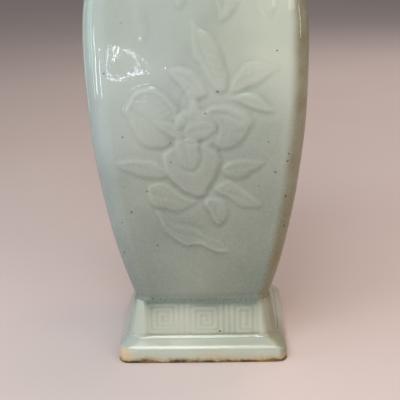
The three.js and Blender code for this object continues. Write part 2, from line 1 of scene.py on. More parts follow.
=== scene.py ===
import math

import bpy
import numpy as np
from mathutils import Matrix, Vector


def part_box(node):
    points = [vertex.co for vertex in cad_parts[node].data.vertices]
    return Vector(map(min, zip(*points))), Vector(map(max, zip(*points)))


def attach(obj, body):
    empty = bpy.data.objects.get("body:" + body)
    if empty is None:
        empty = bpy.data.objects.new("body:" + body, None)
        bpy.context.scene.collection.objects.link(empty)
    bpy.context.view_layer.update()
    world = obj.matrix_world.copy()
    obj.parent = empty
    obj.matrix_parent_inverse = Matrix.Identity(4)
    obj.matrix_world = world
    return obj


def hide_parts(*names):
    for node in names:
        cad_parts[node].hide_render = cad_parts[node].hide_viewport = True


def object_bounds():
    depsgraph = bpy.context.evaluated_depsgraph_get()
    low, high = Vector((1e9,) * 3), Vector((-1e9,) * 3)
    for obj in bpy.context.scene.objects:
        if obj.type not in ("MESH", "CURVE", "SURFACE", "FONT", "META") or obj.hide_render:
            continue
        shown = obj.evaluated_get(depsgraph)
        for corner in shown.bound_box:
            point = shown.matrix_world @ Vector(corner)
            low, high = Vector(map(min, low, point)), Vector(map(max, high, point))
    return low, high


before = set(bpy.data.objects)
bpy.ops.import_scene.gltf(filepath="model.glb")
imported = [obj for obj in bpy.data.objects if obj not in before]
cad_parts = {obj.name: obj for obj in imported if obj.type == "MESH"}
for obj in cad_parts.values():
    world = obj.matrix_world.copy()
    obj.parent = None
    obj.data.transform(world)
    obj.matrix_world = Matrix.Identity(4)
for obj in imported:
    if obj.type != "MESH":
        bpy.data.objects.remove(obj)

cad_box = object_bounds()

MM = 0.001

# Camera: place in metres, angles in degrees, focal length in pixels of the 400 pixel frame
CAMERA_AT = Vector((0.0167, -0.5698, 0.255))
CAMERA_HEADING = 1.78
CAMERA_PITCH = 16.7
CAMERA_ROLL = 1.41
FOCAL_PIXELS = 986
IMAGE_PIXELS = 400
SENSOR = 36.0

# Foot, in millimetres. The top and the plinth's half width follow the imported part.
FOOT_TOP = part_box("foot_front_wall")[1].z / MM
PLINTH_HALF = -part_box("foot_front_wall")[0].y / MM
PLINTH_FACE = 8.3
SLOPE_TOP = 14.0
COLLAR_FOOT_HALF = 44
COLLAR_TOP_HALF = 40.4
CREASE_HALF = 40.3
FOOT_RING_INNER = 42.5
FOOT_WELL = 35.2
REST_EDGE = 1.2
PLINTH_EDGE = 7
COLLAR_EDGE = 2.2
PLINTH_CORNER = 6
COLLAR_CORNER = 9.5

# Body
CREASE = 35.5
WAIST = 38.5
WAIST_HALF = 40
BELLY = 182.5
BELLY_HALF = 61
BELLY_CORNER = 14
BELLY_FULLNESS = 0.865
SHOULDER_RISE = 67.5
SHOULDER_HANDLES = [(0, 0.55), (0.43, 0.75)]
SHOULDER_LENGTH = 78
NECK_ROOT = BELLY + SHOULDER_RISE
NECK_ROOT_HALF = 37
NECK_HALF = 33
NECK_PINCH = NECK_ROOT + 18
NECK_LEAN = 0.7
NECK_HANDLE = 8.1
RIM_SEAT = NECK_ROOT + 43
RIM_SEAT_HALF = 38.2
RIM_SEAM = 0.4
MOUTH_HALF = 41
MOUTH = cad_box[1].z / MM
NECK_CORNER = 8
WALL = 5
FLOOR_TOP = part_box("floor_slab")[1].z / MM
FLOOR_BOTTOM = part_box("floor_slab")[0].z / MM
FLOOR_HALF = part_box("floor_slab")[1].x / MM

# Turn of a bowed face from its middle to its edge, and on to the mitre
FOOT_BOW = math.radians(1.2)
BELLY_BOW = math.radians(2)
MITRE = math.radians(45)

# Lugs
LUG_WIDTH = 20
LUG_BORE = 11
LUG_GAP = 0.3
LUG_EDGE = 1.5
LUG_SQUARENESS = 5

# Meshes: distance of the rows, steps up the two parts of the neck, across a moulded and a plain
# face, round half a corner and round a lug, and every how many rows of the outside have one inside
BODY_SPACING = 0.7
FOOT_SPACING = 0.4
RIM_SPACING = 0.6
FLOOR_SPACING = 4
NECK_STEPS = (18, 22)
FINE_STEPS = 150
PLAIN_STEPS = 60
CORNER_STEPS = 10
LUG_STEPS = 48
INSIDE_STRIDE = 6


def lerp(a, b, share):
    return a + (b - a) * share


def smooth(share):
    share = np.clip(share, 0, 1)
    return share * share * (3 - 2 * share)


def add_object(name, data):
    thing = bpy.data.objects.new(name, data)
    bpy.context.scene.collection.objects.link(thing)
    return thing


def make_camera():
    data = bpy.data.cameras.new("camera")
    data.sensor_width = SENSOR
    data.lens = SENSOR * FOCAL_PIXELS / IMAGE_PIXELS
    camera = add_object("camera", data)
    heading = Matrix.Rotation(math.radians(CAMERA_HEADING), 4, "Z")
    pitch = Matrix.Rotation(math.radians(90 - CAMERA_PITCH), 4, "X")
    roll = Matrix.Rotation(math.radians(-CAMERA_ROLL), 4, "Z")
    camera.matrix_world = Matrix.Translation(CAMERA_AT) @ heading @ pitch @ roll
    bpy.context.scene.camera = camera


# Profiles: rows of (half width, height, corner radius, bow)

def bezier(points, steps):
    """Points along a Bezier curve of any degree."""
    rows = []
    degree = len(points) - 1
    for i in range(steps + 1):
        t = i / steps
        at = np.zeros(2)
        for k, p in enumerate(points):
            at += math.comb(degree, k) * t ** k * (1 - t) ** (degree - k) * np.array(p, float)
        rows.append(at)
    return rows


def rounded_path(corners, spacing):
    """Joins (x, z, radius) corners by straight runs and arcs, with points at most spacing apart."""
    path = []
    last = len(corners) - 1
    for i, (x, z, radius) in enumerate(corners):
        at = np.array([x, z], float)
        if i in (0, last) or radius == 0:
            path.append(at)
            continue
        before = np.array(corners[i - 1][:2], float) - at
        after = np.array(corners[i + 1][:2], float) - at
        before /= np.linalg.norm(before)
        after /= np.linalg.norm(after)
        half_angle = math.acos(float(np.clip(before @ after, -1, 1))) / 2
        reach = radius / math.tan(half_angle)
        inwards = (before + after) / np.linalg.norm(before + after)
        centre = at + inwards * radius / math.sin(half_angle)
        start = at + before * reach - centre
        turn = math.pi - 2 * half_angle
        side = -np.sign(before[0] * after[1] - before[1] * after[0])
        steps = max(2, int(radius * turn / spacing * 1.5))
        for k in range(steps + 1):
            cos, sin = math.cos(side * turn * k / steps), math.sin(side * turn * k / steps)
            path.append(centre + (start[0] * cos - start[1] * sin, start[0] * sin + start[1] * cos))
    return evenly(path, spacing)


def evenly(path, spacing):
    """Adds points to the long runs of a path."""
    out = [path[0]]
    for a, b in zip(path, path[1:]):
        steps = max(1, math.ceil(np.linalg.norm(b - a) / spacing))
        for k in range(1, steps + 1):
            out.append(a + (b - a) * k / steps)
    return out


def belly_row(z):
    """One row below the widest level: a concave waist that swells into the belly."""
    crease = max(0, min(1, (WAIST - z) / (WAIST - FOOT_TOP)))
    rise = max(0, min(1, (z - WAIST) / (BELLY - WAIST)))
    swell = (BELLY_HALF - WAIST_HALF) * math.sin(rise ** BELLY_FULLNESS * math.pi / 2)
    half = WAIST_HALF + (CREASE_HALF - WAIST_HALF) * crease ** 2 + swell
    return half, z, lerp(COLLAR_CORNER, BELLY_CORNER, rise), lerp(FOOT_BOW, BELLY_BOW, rise)


def belly_rows():
    """From just above the foot to the widest level."""
    rows = [belly_row(FOOT_TOP + 0.03)]
    count = math.ceil((BELLY - CREASE) / BODY_SPACING)
    for i in range(count):
        rows.append(belly_row(lerp(FOOT_TOP + 0.08, BELLY, i / count)))
    return rows


def shoulder_rows():
    """From the widest level in to the root of the neck."""
    tuck = BELLY_HALF - NECK_ROOT_HALF
    handles = [(BELLY_HALF - tuck * x, BELLY + SHOULDER_RISE * z) for x, z in SHOULDER_HANDLES]
    path = bezier([(BELLY_HALF, BELLY), *handles, (NECK_ROOT_HALF, NECK_ROOT)],
                  math.ceil(SHOULDER_LENGTH / BODY_SPACING))
    last = len(path) - 1
    rows = []
    for i, (half, z) in enumerate(path[:-1]):
        corner = lerp(BELLY_CORNER, NECK_CORNER, i / last)
        rows.append((half, z, corner, lerp(BELLY_BOW, FOOT_BOW, i / last)))
    return rows


def neck_rows():
    """From the root of the neck over its narrowest level to the rim's seat."""
    neck_tuck = NECK_ROOT_HALF - NECK_HALF
    lower = bezier([
        (NECK_ROOT_HALF, NECK_ROOT),
        (NECK_ROOT_HALF - neck_tuck * NECK_LEAN, NECK_ROOT + neck_tuck),
        (NECK_HALF, NECK_PINCH - NECK_HANDLE), (NECK_HALF, NECK_PINCH),
    ], NECK_STEPS[0])
    flare = bezier([(NECK_HALF, NECK_PINCH), (NECK_HALF, (NECK_PINCH + RIM_SEAT) / 2),
                    (RIM_SEAT_HALF, RIM_SEAT)], NECK_STEPS[1])
    return [(half, z, NECK_CORNER, FOOT_BOW) for half, z in lower[:-1] + flare[:-2]]


def rim_rows():
    """Up the thick mouth rim and down its inner side."""
    inner_half = RIM_SEAT_HALF - WALL
    rim = rounded_path([
        (RIM_SEAT_HALF, RIM_SEAT - RIM_SEAM, 0), (RIM_SEAT_HALF + 0.3, RIM_SEAT + 0.2, 0.5),
        (MOUTH_HALF, RIM_SEAT + RIM_SEAM, 1.4), (MOUTH_HALF, MOUTH, 2.2),
        (inner_half, MOUTH, 2), (inner_half, RIM_SEAT, 0),
    ], RIM_SPACING)
    return [(half, z, NECK_CORNER, FOOT_BOW) for half, z in rim[1:]]


def inside_rows(outside):
    """Down the inner side of the wall, one row for every few of the outside."""
    inside = []
    sparse = outside[::INSIDE_STRIDE]
    for before, row, after in zip(sparse, sparse[1:], sparse[2:]):
        along = np.array(after[:2]) - np.array(before[:2])
        along /= np.linalg.norm(along)
        half = row[0] - WALL * along[1]
        z = row[1] + WALL * along[0]
        if z > CREASE + 3:
            inside.append((half, z, max(row[2] - WALL, 2.5), row[3]))
    return inside[::-1]


def body_rows():
    """From under the floor up the outside, over the rim, down the inside and across the floor,
    and the numbers of the first row outside and of the first one after the outside."""
    under = [(8, FLOOR_BOTTOM, 3, FOOT_BOW), (FLOOR_HALF, FLOOR_BOTTOM, COLLAR_CORNER, FOOT_BOW),
             (FLOOR_HALF, FOOT_TOP, COLLAR_CORNER, FOOT_BOW),
             (COLLAR_TOP_HALF - 2, FOOT_TOP + 0.02, COLLAR_CORNER, FOOT_BOW)]
    outside = belly_rows() + shoulder_rows() + neck_rows()
    inside = inside_rows(outside)
    cove = rounded_path([
        (inside[-1][0], inside[-1][1], 0), (WAIST_HALF - WALL, FLOOR_TOP, 3), (8, FLOOR_TOP, 0),
    ], FLOOR_SPACING)
    floor = [(half, z, min(3, half / 3), FOOT_BOW) for half, z in cove[1:]]
    rows = under + outside + rim_rows() + inside + floor
    return rows, len(under), len(under) + len(outside)


def foot_rows():
    """Up the outside of the foot from its ring, then down its well, and the number of the first
    row in the well."""
    outside = rounded_path([
        (FOOT_RING_INNER, 0, 0), (PLINTH_HALF, 0, REST_EDGE),
        (PLINTH_HALF, PLINTH_FACE, PLINTH_EDGE), (COLLAR_FOOT_HALF, SLOPE_TOP, COLLAR_EDGE),
        (COLLAR_TOP_HALF, FOOT_TOP, 0),
    ], FOOT_SPACING)
    rows = []
    for half, z in outside:
        corner = lerp(PLINTH_CORNER, COLLAR_CORNER, float(smooth((z - PLINTH_FACE) / 7)))
        rows.append((half, z, corner, FOOT_BOW))
    rows.insert(-1, (COLLAR_TOP_HALF, FOOT_TOP - 0.05, COLLAR_CORNER, FOOT_BOW))
    ledge_half, ledge = FLOOR_HALF + 0.4, FLOOR_BOTTOM - 0.3
    well = [(ledge_half, FOOT_TOP), (ledge_half, ledge), (FOOT_WELL, ledge),
            (FOOT_WELL, PLINTH_FACE), (FOOT_RING_INNER - 1.2, 1.2), (FOOT_RING_INNER - 0.4, 0.3)]
    return rows + [(half, z, WALL, FOOT_BOW) for half, z in well], len(rows)


# Surfaces: a grid of points, one loop per row, over four sides

def side_shares(face_steps):
    """Places along one side: -1 and 1 at the corners' middles, and the face from -0.5 to 0.5."""
    shares = [-1 + 0.5 * i / CORNER_STEPS for i in range(CORNER_STEPS)]
    shares += [-0.5 + i / face_steps for i in range(face_steps)]
    shares += [0.5 + 0.5 * i / CORNER_STEPS for i in range(CORNER_STEPS)]
    return np.array(shares)


def loop_points(row, sides):
    """Points and outward normals of one loop, and how far each is across its face."""
    half, z, corner, bow = row
    span = (half - corner) / (1 + math.sin(bow) - math.cos(bow))
    points, normals, across = [], [], []
    for side, shares in enumerate(sides):
        place = 2 * np.abs(shares)
        turn = np.where(place <= 1, bow * place, lerp(bow, MITRE, np.clip(place - 1, 0, 1)))
        bend = np.minimum(turn, bow)
        x = np.sign(shares) * (span * np.sin(bend) + corner * np.sin(turn))
        d = half - span - corner + span * np.cos(bend) + corner * np.cos(turn)
        nx = np.sign(shares) * np.sin(turn)
        nd = np.cos(turn)
        cos, sin = math.cos(side * math.pi / 2), math.sin(side * math.pi / 2)
        points.append(np.stack([x * cos + d * sin, x * sin - d * cos, np.full_like(x, z)], 1))
        normals.append(np.stack([nx * cos + nd * sin, nx * sin - nd * cos, np.zeros_like(x)], 1))
        across.append(np.stack([x, np.full_like(x, side)], 1))
    return np.concatenate(points), np.concatenate(normals), np.concatenate(across)


def surface(rows, sides, edge, inward):
    """Points and normals of all rows. The row at the edge takes the normal of its neighbour."""
    loops = [loop_points(row, sides) for row in rows]
    points = np.array([loop[0] for loop in loops])
    normals = np.array([loop[1] for loop in loops])
    across = np.array([loop[2] for loop in loops])
    path = np.array([row[:2] for row in rows])
    along = np.gradient(path, axis=0)
    along /= np.linalg.norm(along, axis=1)[:, None]
    normals = normals * along[:, 1][:, None, None]
    normals[:, :, 2] = -along[:, 0][:, None]
    normals[edge] = normals[edge + inward]
    return points, normals, across


def blurred(grid, reach, wrap):
    """Gaussian blur of a grid over rows, and over columns, which may wrap round."""
    offsets = np.arange(-int(3 * reach), int(3 * reach) + 1)
    weights = np.exp(-0.5 * (offsets / reach) ** 2)
    weights /= weights.sum()
    rows = np.arange(grid.shape[0])
    out = sum(w * grid[np.clip(rows + o, 0, grid.shape[0] - 1)] for o, w in zip(offsets, weights))
    if wrap:
        return sum(w * np.roll(out, o, axis=1) for o, w in zip(offsets, weights))
    columns = np.arange(grid.shape[1])
    beside = [np.clip(columns + o, 0, grid.shape[1] - 1) for o in offsets]
    return sum(w * out[:, b] for b, w in zip(beside, weights))


def add_mesh(name, points, faces):
    """A smooth-shaded object in metres, from points in millimetres."""
    mesh = bpy.data.meshes.new(name)
    mesh.from_pydata((points * MM).tolist(), [], faces)
    mesh.update()
    mesh.polygons.foreach_set("use_smooth", [True] * len(mesh.polygons))
    return add_object(name, mesh)


def add_numbers(piece, **numbers):
    """Gives each point of a piece the numbers that its glaze reads."""
    for name, values in numbers.items():
        attribute = piece.data.attributes.new(name, "FLOAT", "POINT")
        attribute.data.foreach_set("value", np.asarray(values, np.float32).ravel())


def grid_faces(rows, columns, closed):
    """Quads between neighbouring loops; closed joins the last loop to the first."""
    index = np.arange(rows * columns).reshape(rows, columns)
    nxt = np.roll(index, -1, axis=1)
    low, high = index, np.roll(index, -1, axis=0)
    low_next, high_next = nxt, np.roll(nxt, -1, axis=0)
    if not closed:
        low, high, low_next, high_next = low[:-1], high[:-1], low_next[:-1], high_next[:-1]
    return np.stack([low, low_next, high_next, high], -1).reshape(-1, 4).tolist()


# Relief: a height map of a face, x from its middle and z up the pot. A veined form has a groove
# along its spine, fine ribs slanting from it, and a beaded rim.

VEIN_DEPTH = 0.26
VEIN_WIDTH = 0.8
RIB_DEPTH = 0.13
RIB_COUNT = 7
RIB_SLANT = 0.16
RIM_WIDTH = 0.9


def wobble(x, z):
    """The slight unevenness of an outline worked by hand."""
    return 0.15 * np.sin(x * 0.7 + z * 0.3) + 0.13 * np.sin(z * 0.8 - x * 0.3 + 2)


def ridge(distance, width):
    """A soft ridge of height 1, for relief and for where the glaze gathers."""
    return np.exp(-(distance / width) ** 2)


class Relief:
    def __init__(self, x_range, z_range, step):
        self.x0, self.z0, self.step = x_range[0], z_range[0], step
        columns = int((x_range[1] - x_range[0]) / step) + 1
        rows = int((z_range[1] - z_range[0]) / step) + 1
        self.height = np.zeros((rows, columns))

    def window(self, points, margin):
        """The part of the map round the points, and the x and z of its cells."""
        low = (points.min(0) - margin - [self.x0, self.z0]) / self.step
        high = (points.max(0) + margin - [self.x0, self.z0]) / self.step
        r0, r1 = max(0, int(low[1])), min(self.height.shape[0], int(high[1]) + 2)
        c0, c1 = max(0, int(low[0])), min(self.height.shape[1], int(high[0]) + 2)
        z, x = np.mgrid[r0:r1, c0:c1] * self.step
        return (slice(r0, r1), slice(c0, c1)), x + self.x0, z + self.z0

    def press(self, loop, lift, crown, edge, spine, bead, moat, lean):
        """Raises the form inside a loop: a soft edge, a crown and a veined spine. The edges on the
        side away from lean have a beaded rim, and glaze fills a line along the other ones."""
        place, x, z = self.window(loop, 4)
        inside = inside_distance(loop, x, z) + wobble(x, z)
        share = smooth(inside / edge)
        level = lift + crown * smooth(inside / max(inside.max(), 1e-6))
        slope_z, slope_x = np.gradient(inside, self.step)
        lit = smooth(0.5 + 0.6 * (lean[0] * slope_x + lean[1] * slope_z))
        level = level + bead * lit * ridge(inside - edge * 0.85, RIM_WIDTH)
        if spine is not None:
            away, along = line_distance(spine, x, z)
            level = level - VEIN_DEPTH * ridge(away, VEIN_WIDTH)
            ribs = np.clip(np.cos(2 * math.pi * (along * RIB_COUNT - away * RIB_SLANT)), 0, 1)
            level = level - RIB_DEPTH * ribs * smooth(away / 1.5) * smooth(inside / 3)
        height = self.height[place] - moat * (1 - lit) * ridge(inside + 0.6, RIM_WIDTH)
        self.height[place] = height * (1 - share) + level * share

    def groove(self, line, depth, width):
        place, x, z = self.window(line, 4)
        self.height[place] -= depth * ridge(line_distance(line, x, z)[0], width)

    def sample(self, x, z):
        column = np.clip((x - self.x0) / self.step, 0, self.height.shape[1] - 1.001)
        row = np.clip((z - self.z0) / self.step, 0, self.height.shape[0] - 1.001)
        c, r = column.astype(int), row.astype(int)
        fc, fr = column - c, row - r
        h = self.height
        low = h[r, c] * (1 - fc) + h[r, c + 1] * fc
        high = h[r + 1, c] * (1 - fc) + h[r + 1, c + 1] * fc
        return low * (1 - fr) + high * fr


def line_distance(line, x, z):
    """Distance to a line, and how far along it the nearest place is."""
    best = np.full(x.shape, 1e9)
    share = np.zeros(x.shape)
    count = len(line) - 1
    for i, (a, b) in enumerate(zip(line, line[1:])):
        run = b - a
        t = np.clip(((x - a[0]) * run[0] + (z - a[1]) * run[1]) / max(run @ run, 1e-9), 0, 1)
        distance = np.hypot(x - a[0] - run[0] * t, z - a[1] - run[1] * t)
        nearer = distance < best
        best = np.where(nearer, distance, best)
        share = np.where(nearer, (i + t) / count, share)
    return best, share


def inside_distance(loop, x, z):
    """Distance to a closed loop, positive inside it."""
    closed = np.vstack([loop, loop[:1]])
    distance = line_distance(closed, x, z)[0]
    inside = np.zeros(x.shape, bool)
    for a, b in zip(closed, closed[1:]):
        crosses = (a[1] > z) != (b[1] > z)
        rise = b[1] - a[1] if b[1] != a[1] else 1e-9
        inside ^= crosses & (x < a[0] + (z - a[1]) * (b[0] - a[0]) / rise)
    return np.where(inside, distance, -distance)


def smooth_line(points, steps, closed):
    """Catmull-Rom curve through the points."""
    p = np.array(points, float)
    count = len(p)
    spans = count if closed else count - 1
    out = []
    for i in range(spans):
        if closed:
            p0, p1, p2, p3 = (p[(i + k) % count] for k in (-1, 0, 1, 2))
        else:
            p0, p1, p2, p3 = (p[min(max(i + k, 0), count - 1)] for k in (-1, 0, 1, 2))
        for k in range(steps):
            t = k / steps
            out.append(0.5 * (2 * p1 + (p2 - p0) * t + (2 * p0 - 5 * p1 + 4 * p2 - p3) * t ** 2
                              + (3 * p1 - p0 - 3 * p2 + p3) * t ** 3))
    if not closed:
        out.append(p[-1])
    return np.array(out)


# The spray's forms from the lowest layer up: name, lift, crown, width of the soft edge, and the
# points (x, z) of the spine, where it is veined, and of the outline
FORMS = [
    ("branch", 0.3, 0.05, 6, None,
     [(-26.8, 211), (-24.8, 201.3), (-23.6, 195.8), (-23.6, 191), (-25.5, 188), (-28, 187.6),
      (-30.4, 190), (-31.6, 195), (-32.9, 201.4), (-34.9, 211), (-37, 225), (-29, 225)]),
    ("petal_left", 0.55, 0.25, 3, [(-34, 152), (-27, 147), (-15, 141)],
     [(-39, 151.3), (-37, 157.4), (-31.5, 163.6), (-22.5, 165.2), (-15.5, 161.3),
      (-9.8, 154.4), (-8.1, 147.4), (-7.8, 140.8), (-10.1, 135.3), (-14.5, 131.4),
      (-18.8, 129.8), (-24.1, 129.9), (-28.9, 131.7), (-32.4, 135.7), (-35.3, 141.3),
      (-37.1, 146.8)]),
    ("petal_right", 0.55, 0.25, 2.6, [(9, 149.8), (15.7, 149.3), (23, 145.8)],
     [(9, 129.9), (12.7, 128.7), (16.9, 129.2), (21.7, 131.3), (25.5, 135.2), (28.7, 140.1),
      (30.3, 145), (27.5, 150), (21.5, 153.5), (13, 155.3), (5.5, 153.5), (3, 149.5),
      (9.2, 143.8), (10.2, 138.8), (7.4, 133.8)]),
    ("leaf_top", 0.5, 0.2, 2.4, [(0, 194), (4, 182), (11, 166)],
     [(-1.8, 199.5), (2.5, 195), (7.6, 192), (11.4, 186.5), (13.9, 180.3), (15.9, 174.6),
      (17.5, 168.3), (15.9, 161), (10.5, 160.5), (6.4, 166), (2.2, 174), (-1.4, 179.6),
      (-2.4, 186.5), (-2.6, 193.5)]),
    ("leaf_upper_left", 0.5, 0.2, 2.4, [(-13, 173), (-4, 168), (3, 160)],
     [(-15.4, 174), (-10.3, 175.4), (-4.1, 174.6), (0.5, 171.7), (4.5, 166.4), (6.4, 160.5),
      (2.2, 157), (-3.6, 156.6), (-7.1, 161.3), (-11.1, 166.7), (-14.4, 170.5)]),
    ("leaf_upper_right", 0.45, 0.2, 2.4, [(18, 162), (28, 169), (41, 173)],
     [(16.9, 160.5), (18.5, 168.2), (22.2, 172.9), (26.4, 176.4), (32.1, 177.3),
      (38.8, 175.7), (44.8, 173.8), (39.8, 169.4), (35.6, 165.8), (32, 163.4), (26.8, 161.7),
      (21.6, 159.7)]),
    ("leaf_right_high", 0.5, 0.15, 2, [(19, 157), (29, 155.5), (40, 151)],
     [(16.5, 158), (23.1, 160), (28.9, 160.4), (33.5, 159), (37.2, 155.2), (42.8, 149.7),
      (36.1, 149), (30.9, 150.4), (26.2, 152.7), (21, 155)]),
    ("leaf_left", 0.5, 0.25, 2.4, [(-42, 121.5), (-30, 120), (-18, 116)],
     [(-45.2, 122.3), (-41, 125.1), (-33.4, 126.1), (-26.5, 125.4), (-21.5, 123.7),
      (-17, 118.4), (-15.5, 114.3), (-21.7, 112.1), (-26.6, 112.8), (-33, 114),
      (-37.7, 116.4), (-42.5, 118.8)]),
    ("leaf_right", 0.5, 0.25, 2.4, [(14, 118), (24, 119.5), (34, 121)],
     [(11.5, 118), (15.8, 123), (20.6, 124.8), (27, 125.2), (32.3, 123.6), (37, 121.7),
      (33.4, 118.1), (29.6, 115.6), (25.9, 113), (21.5, 111.3), (15.5, 113)]),
    ("leaf_lower_left", 0.5, 0.2, 2.2, [(-25, 105), (-15, 102), (-4, 98)],
     [(-26.7, 110.4), (-21.2, 112.1), (-15.8, 110.8), (-11.1, 106.6), (-6.3, 102.9),
      (-0.4, 100), (-5.5, 94.8), (-12.5, 92.6), (-19, 94.8), (-25, 95.5), (-27.8, 99.7),
      (-28.6, 105.1)]),
    ("leaf_centre", 0.2, 0.1, 3, None,
     [(-12.1, 93.6), (-6, 96), (0.1, 98.2), (4.3, 93.1), (5.8, 86.9), (3.5, 83.2),
      (-3.1, 84.2), (-9.1, 85.5), (-12.8, 89.5)]),
    ("ribbon", 0.3, 0.1, 2, [(-22, 92), (-14, 82.5), (-4, 78), (5, 75), (13, 70)],
     [(-25, 95), (-21.5, 94.6), (-18.3, 90), (-13.5, 86.2), (-5.3, 85.3), (0.2, 81.4),
      (3.4, 78.2), (8.9, 76.8), (12.8, 73.6), (17, 67.4), (11.5, 66.6), (6.5, 67.6),
      (1.5, 70.8), (-1.8, 72), (-7.4, 70.9), (-11.8, 73.6), (-17.2, 77.7), (-20.9, 81.8),
      (-22.4, 87.4)]),
    ("leaf_lower_right", 0.55, 0.2, 2.2, [(11, 107), (21, 103), (32, 97)],
     [(8, 107), (12.9, 112.1), (17.8, 112.6), (22.6, 109), (27.4, 104.7), (31.8, 100.5),
      (35, 95.6), (29, 94.3), (24.1, 94.8), (19.7, 96.8), (16, 100.5), (11.1, 103)]),
    ("bud", 0.6, 0.25, 1.9, [(6, 100), (9, 94), (11, 87)],
     [(2.9, 100.4), (2.6, 96.2), (5, 92.5), (6.8, 87.5), (10.2, 84), (14.3, 86.2),
      (16, 91.7), (15, 97.8), (12.2, 101.6), (6.8, 103)]),
    ("hub", 0.75, 0.1, 2.4, None,
     [(-9, 151), (0, 153), (8, 149), (12, 141), (8, 131), (-6, 129), (-14, 132), (-13, 139)]),
    ("stalk", 0.6, 0.1, 2.4, None,
     [(-4.1, 158.1), (0.4, 157.5), (2.6, 151.5), (1.8, 146.5), (-4.4, 145), (-7, 148.4),
      (-4.7, 153.3)]),
    ("fruit", 0.85, 0.45, 3, None,
     [(-19.4, 128.1), (-20.2, 122.5), (-18.8, 116.1), (-15.8, 111.4), (-11.6, 107.2),
      (-6.8, 103.6), (-2, 101.1), (2.4, 101.6), (5.7, 105.7), (8.6, 111), (11.4, 116.2),
      (12.5, 121.9), (11.6, 127.6), (7.9, 132.2), (0.5, 135), (-9, 135.6), (-15.5, 132)]),
    ("calyx_left", 1.0, 0.2, 1.8, [(-23, 145.5), (-15, 142), (-9, 138)],
     [(-25, 146), (-20.2, 147.2), (-14, 145.6), (-8.3, 142.2), (-7.4, 136), (-12.2, 135.8),
      (-17.9, 139.6)]),
    ("lobe", 1.4, 0.15, 1.6, [(-6.5, 134), (-6, 127), (-5, 120)],
     [(-10.6, 136), (-11.9, 129.7), (-11, 124.6), (-8.5, 120), (-4.2, 118.2), (-0.4, 119.8),
      (1.3, 124.4), (0.9, 129.5), (0, 136)]),
    ("calyx", 1, 0.2, 2, [(-5, 139), (1, 141), (8, 141.5)],
     [(-5.5, 144.2), (-1.8, 146.4), (5.1, 146.8), (9.4, 143.8), (10.4, 139.9), (6.4, 135.9),
      (1.6, 134.2), (-3.7, 134.8), (-7, 136.7), (-7.4, 140.8)]),
    ("knob", 0.95, 0.15, 1.6, None,
     [(-11.8, 146.9), (-9.6, 149.8), (-6.8, 147.9), (-5.9, 144), (-8.3, 141), (-11, 142.3)]),
    ("leaf_high_left", 0.35, 0.1, 1.8, None,
     [(-12.5, 216), (-11, 208.5), (-8, 203.6), (-4.7, 206.4), (-3.4, 212), (-6, 219)]),
    ("leaf_high_middle", 0.45, 0.2, 2.2, [(13, 200), (16, 210), (15, 222)],
     [(6, 222), (9, 211), (10.4, 206.1), (11.9, 201.1), (12.8, 197.2), (17.5, 198.8),
      (21.1, 202.9), (23.4, 209), (22, 218), (14, 226)]),
    ("leaf_high_right", 0.45, 0.2, 2.2, [(38, 201), (36, 210), (33, 221)],
     [(27, 219), (28.3, 209.6), (30.3, 206.1), (33.3, 201.6), (36.8, 198.2), (40.2, 199),
      (41.6, 204.4), (41, 212), (37, 222), (31, 224)]),
]

# Height of the beaded rim and depth of the glaze-filled line round a form, and those that differ
RIM = (0.25, 0.12)
RIMS = {
    "branch": (0.1, 0.1), "petal_left": (0.52, 0.2), "leaf_top": (0.08, 0.12),
    "leaf_right": (0.25, 0.2), "leaf_centre": (0, 0), "ribbon": (0.6, 0.1), "bud": (0.35, 0.15),
    "hub": (0, 0), "stalk": (0, 0), "fruit": (0.3, 0.3), "calyx_left": (0.15, 0.2),
    "lobe": (0.15, 0.4), "calyx": (0.15, 0.12),
}

# The way (x, z) from the rim's side of a form to the line's, and those that differ
LEAN = (0.75, -0.65)
LEANS = {"petal_left": (0.2, -0.95), "ribbon": (0.5, 0.85)}

# Lines cut into the finished spray: depth, half width and points
GROOVES = [
    (0.32, 0.8, [(-7, 134.2), (-2, 134), (2.5, 134.6), (6, 136), (9, 139)]),
    (0.1, 0.7, [(5, 150.2), (10, 150), (16, 149.3), (23, 145.8)]),
    (0.2, 1.0, [(-9, 154), (-7.5, 159), (-4.5, 163)]),
    (0.16, 2.0, [(-25, 214), (-23.6, 201), (-22.4, 190)]),
]

# The x and z that a height map covers, and the size of its cells
SPRAY_AREA = ((-52, 52), (60, 245))
SPRAY_STEP = 0.5


def spray_relief():
    relief = Relief(*SPRAY_AREA, SPRAY_STEP)
    for name, lift, crown, edge, spine, outline in FORMS:
        spine = None if spine is None else smooth_line(spine, 6, False)
        bead, moat = RIMS.get(name, RIM)
        lean = LEANS.get(name, LEAN)
        relief.press(smooth_line(outline, 5, True), lift, crown, edge, spine, bead, moat, lean)
    for depth, width, points in GROOVES:
        relief.groove(smooth_line(points, 5, False), depth, width)
    relief.height = blurred(relief.height, 1.0, False)
    return relief


# Fret: one sunken panel on each side of the collar, with square spirals and upright bars on it.
# A group is a spiral's width, the bars after it and how far its top stays down.
FRET_AREA = ((-38, 38), (14, 38))
FRET_STEP = 0.2
FRET_BOTTOM = SLOPE_TOP + 2.8
FRET_TOP = CREASE - 2.9
FRET_START = -30.9
FRET_GROUPS = [(15.9, 2, 0), (12.9, 3, 2.2), (7.2, 1, 2.2)]
SPIRAL_ACROSS = 3.1
SPIRAL_UP = 2.5
BAR_PITCH = 3.25
LINE_HALF = 0.8
LINE_EDGE = 1.3
FRET_RISE = 0.34
PANEL_DEPTH = 0.7
PANEL_HALF = 34.5
PANEL_MIDDLE = 0.3


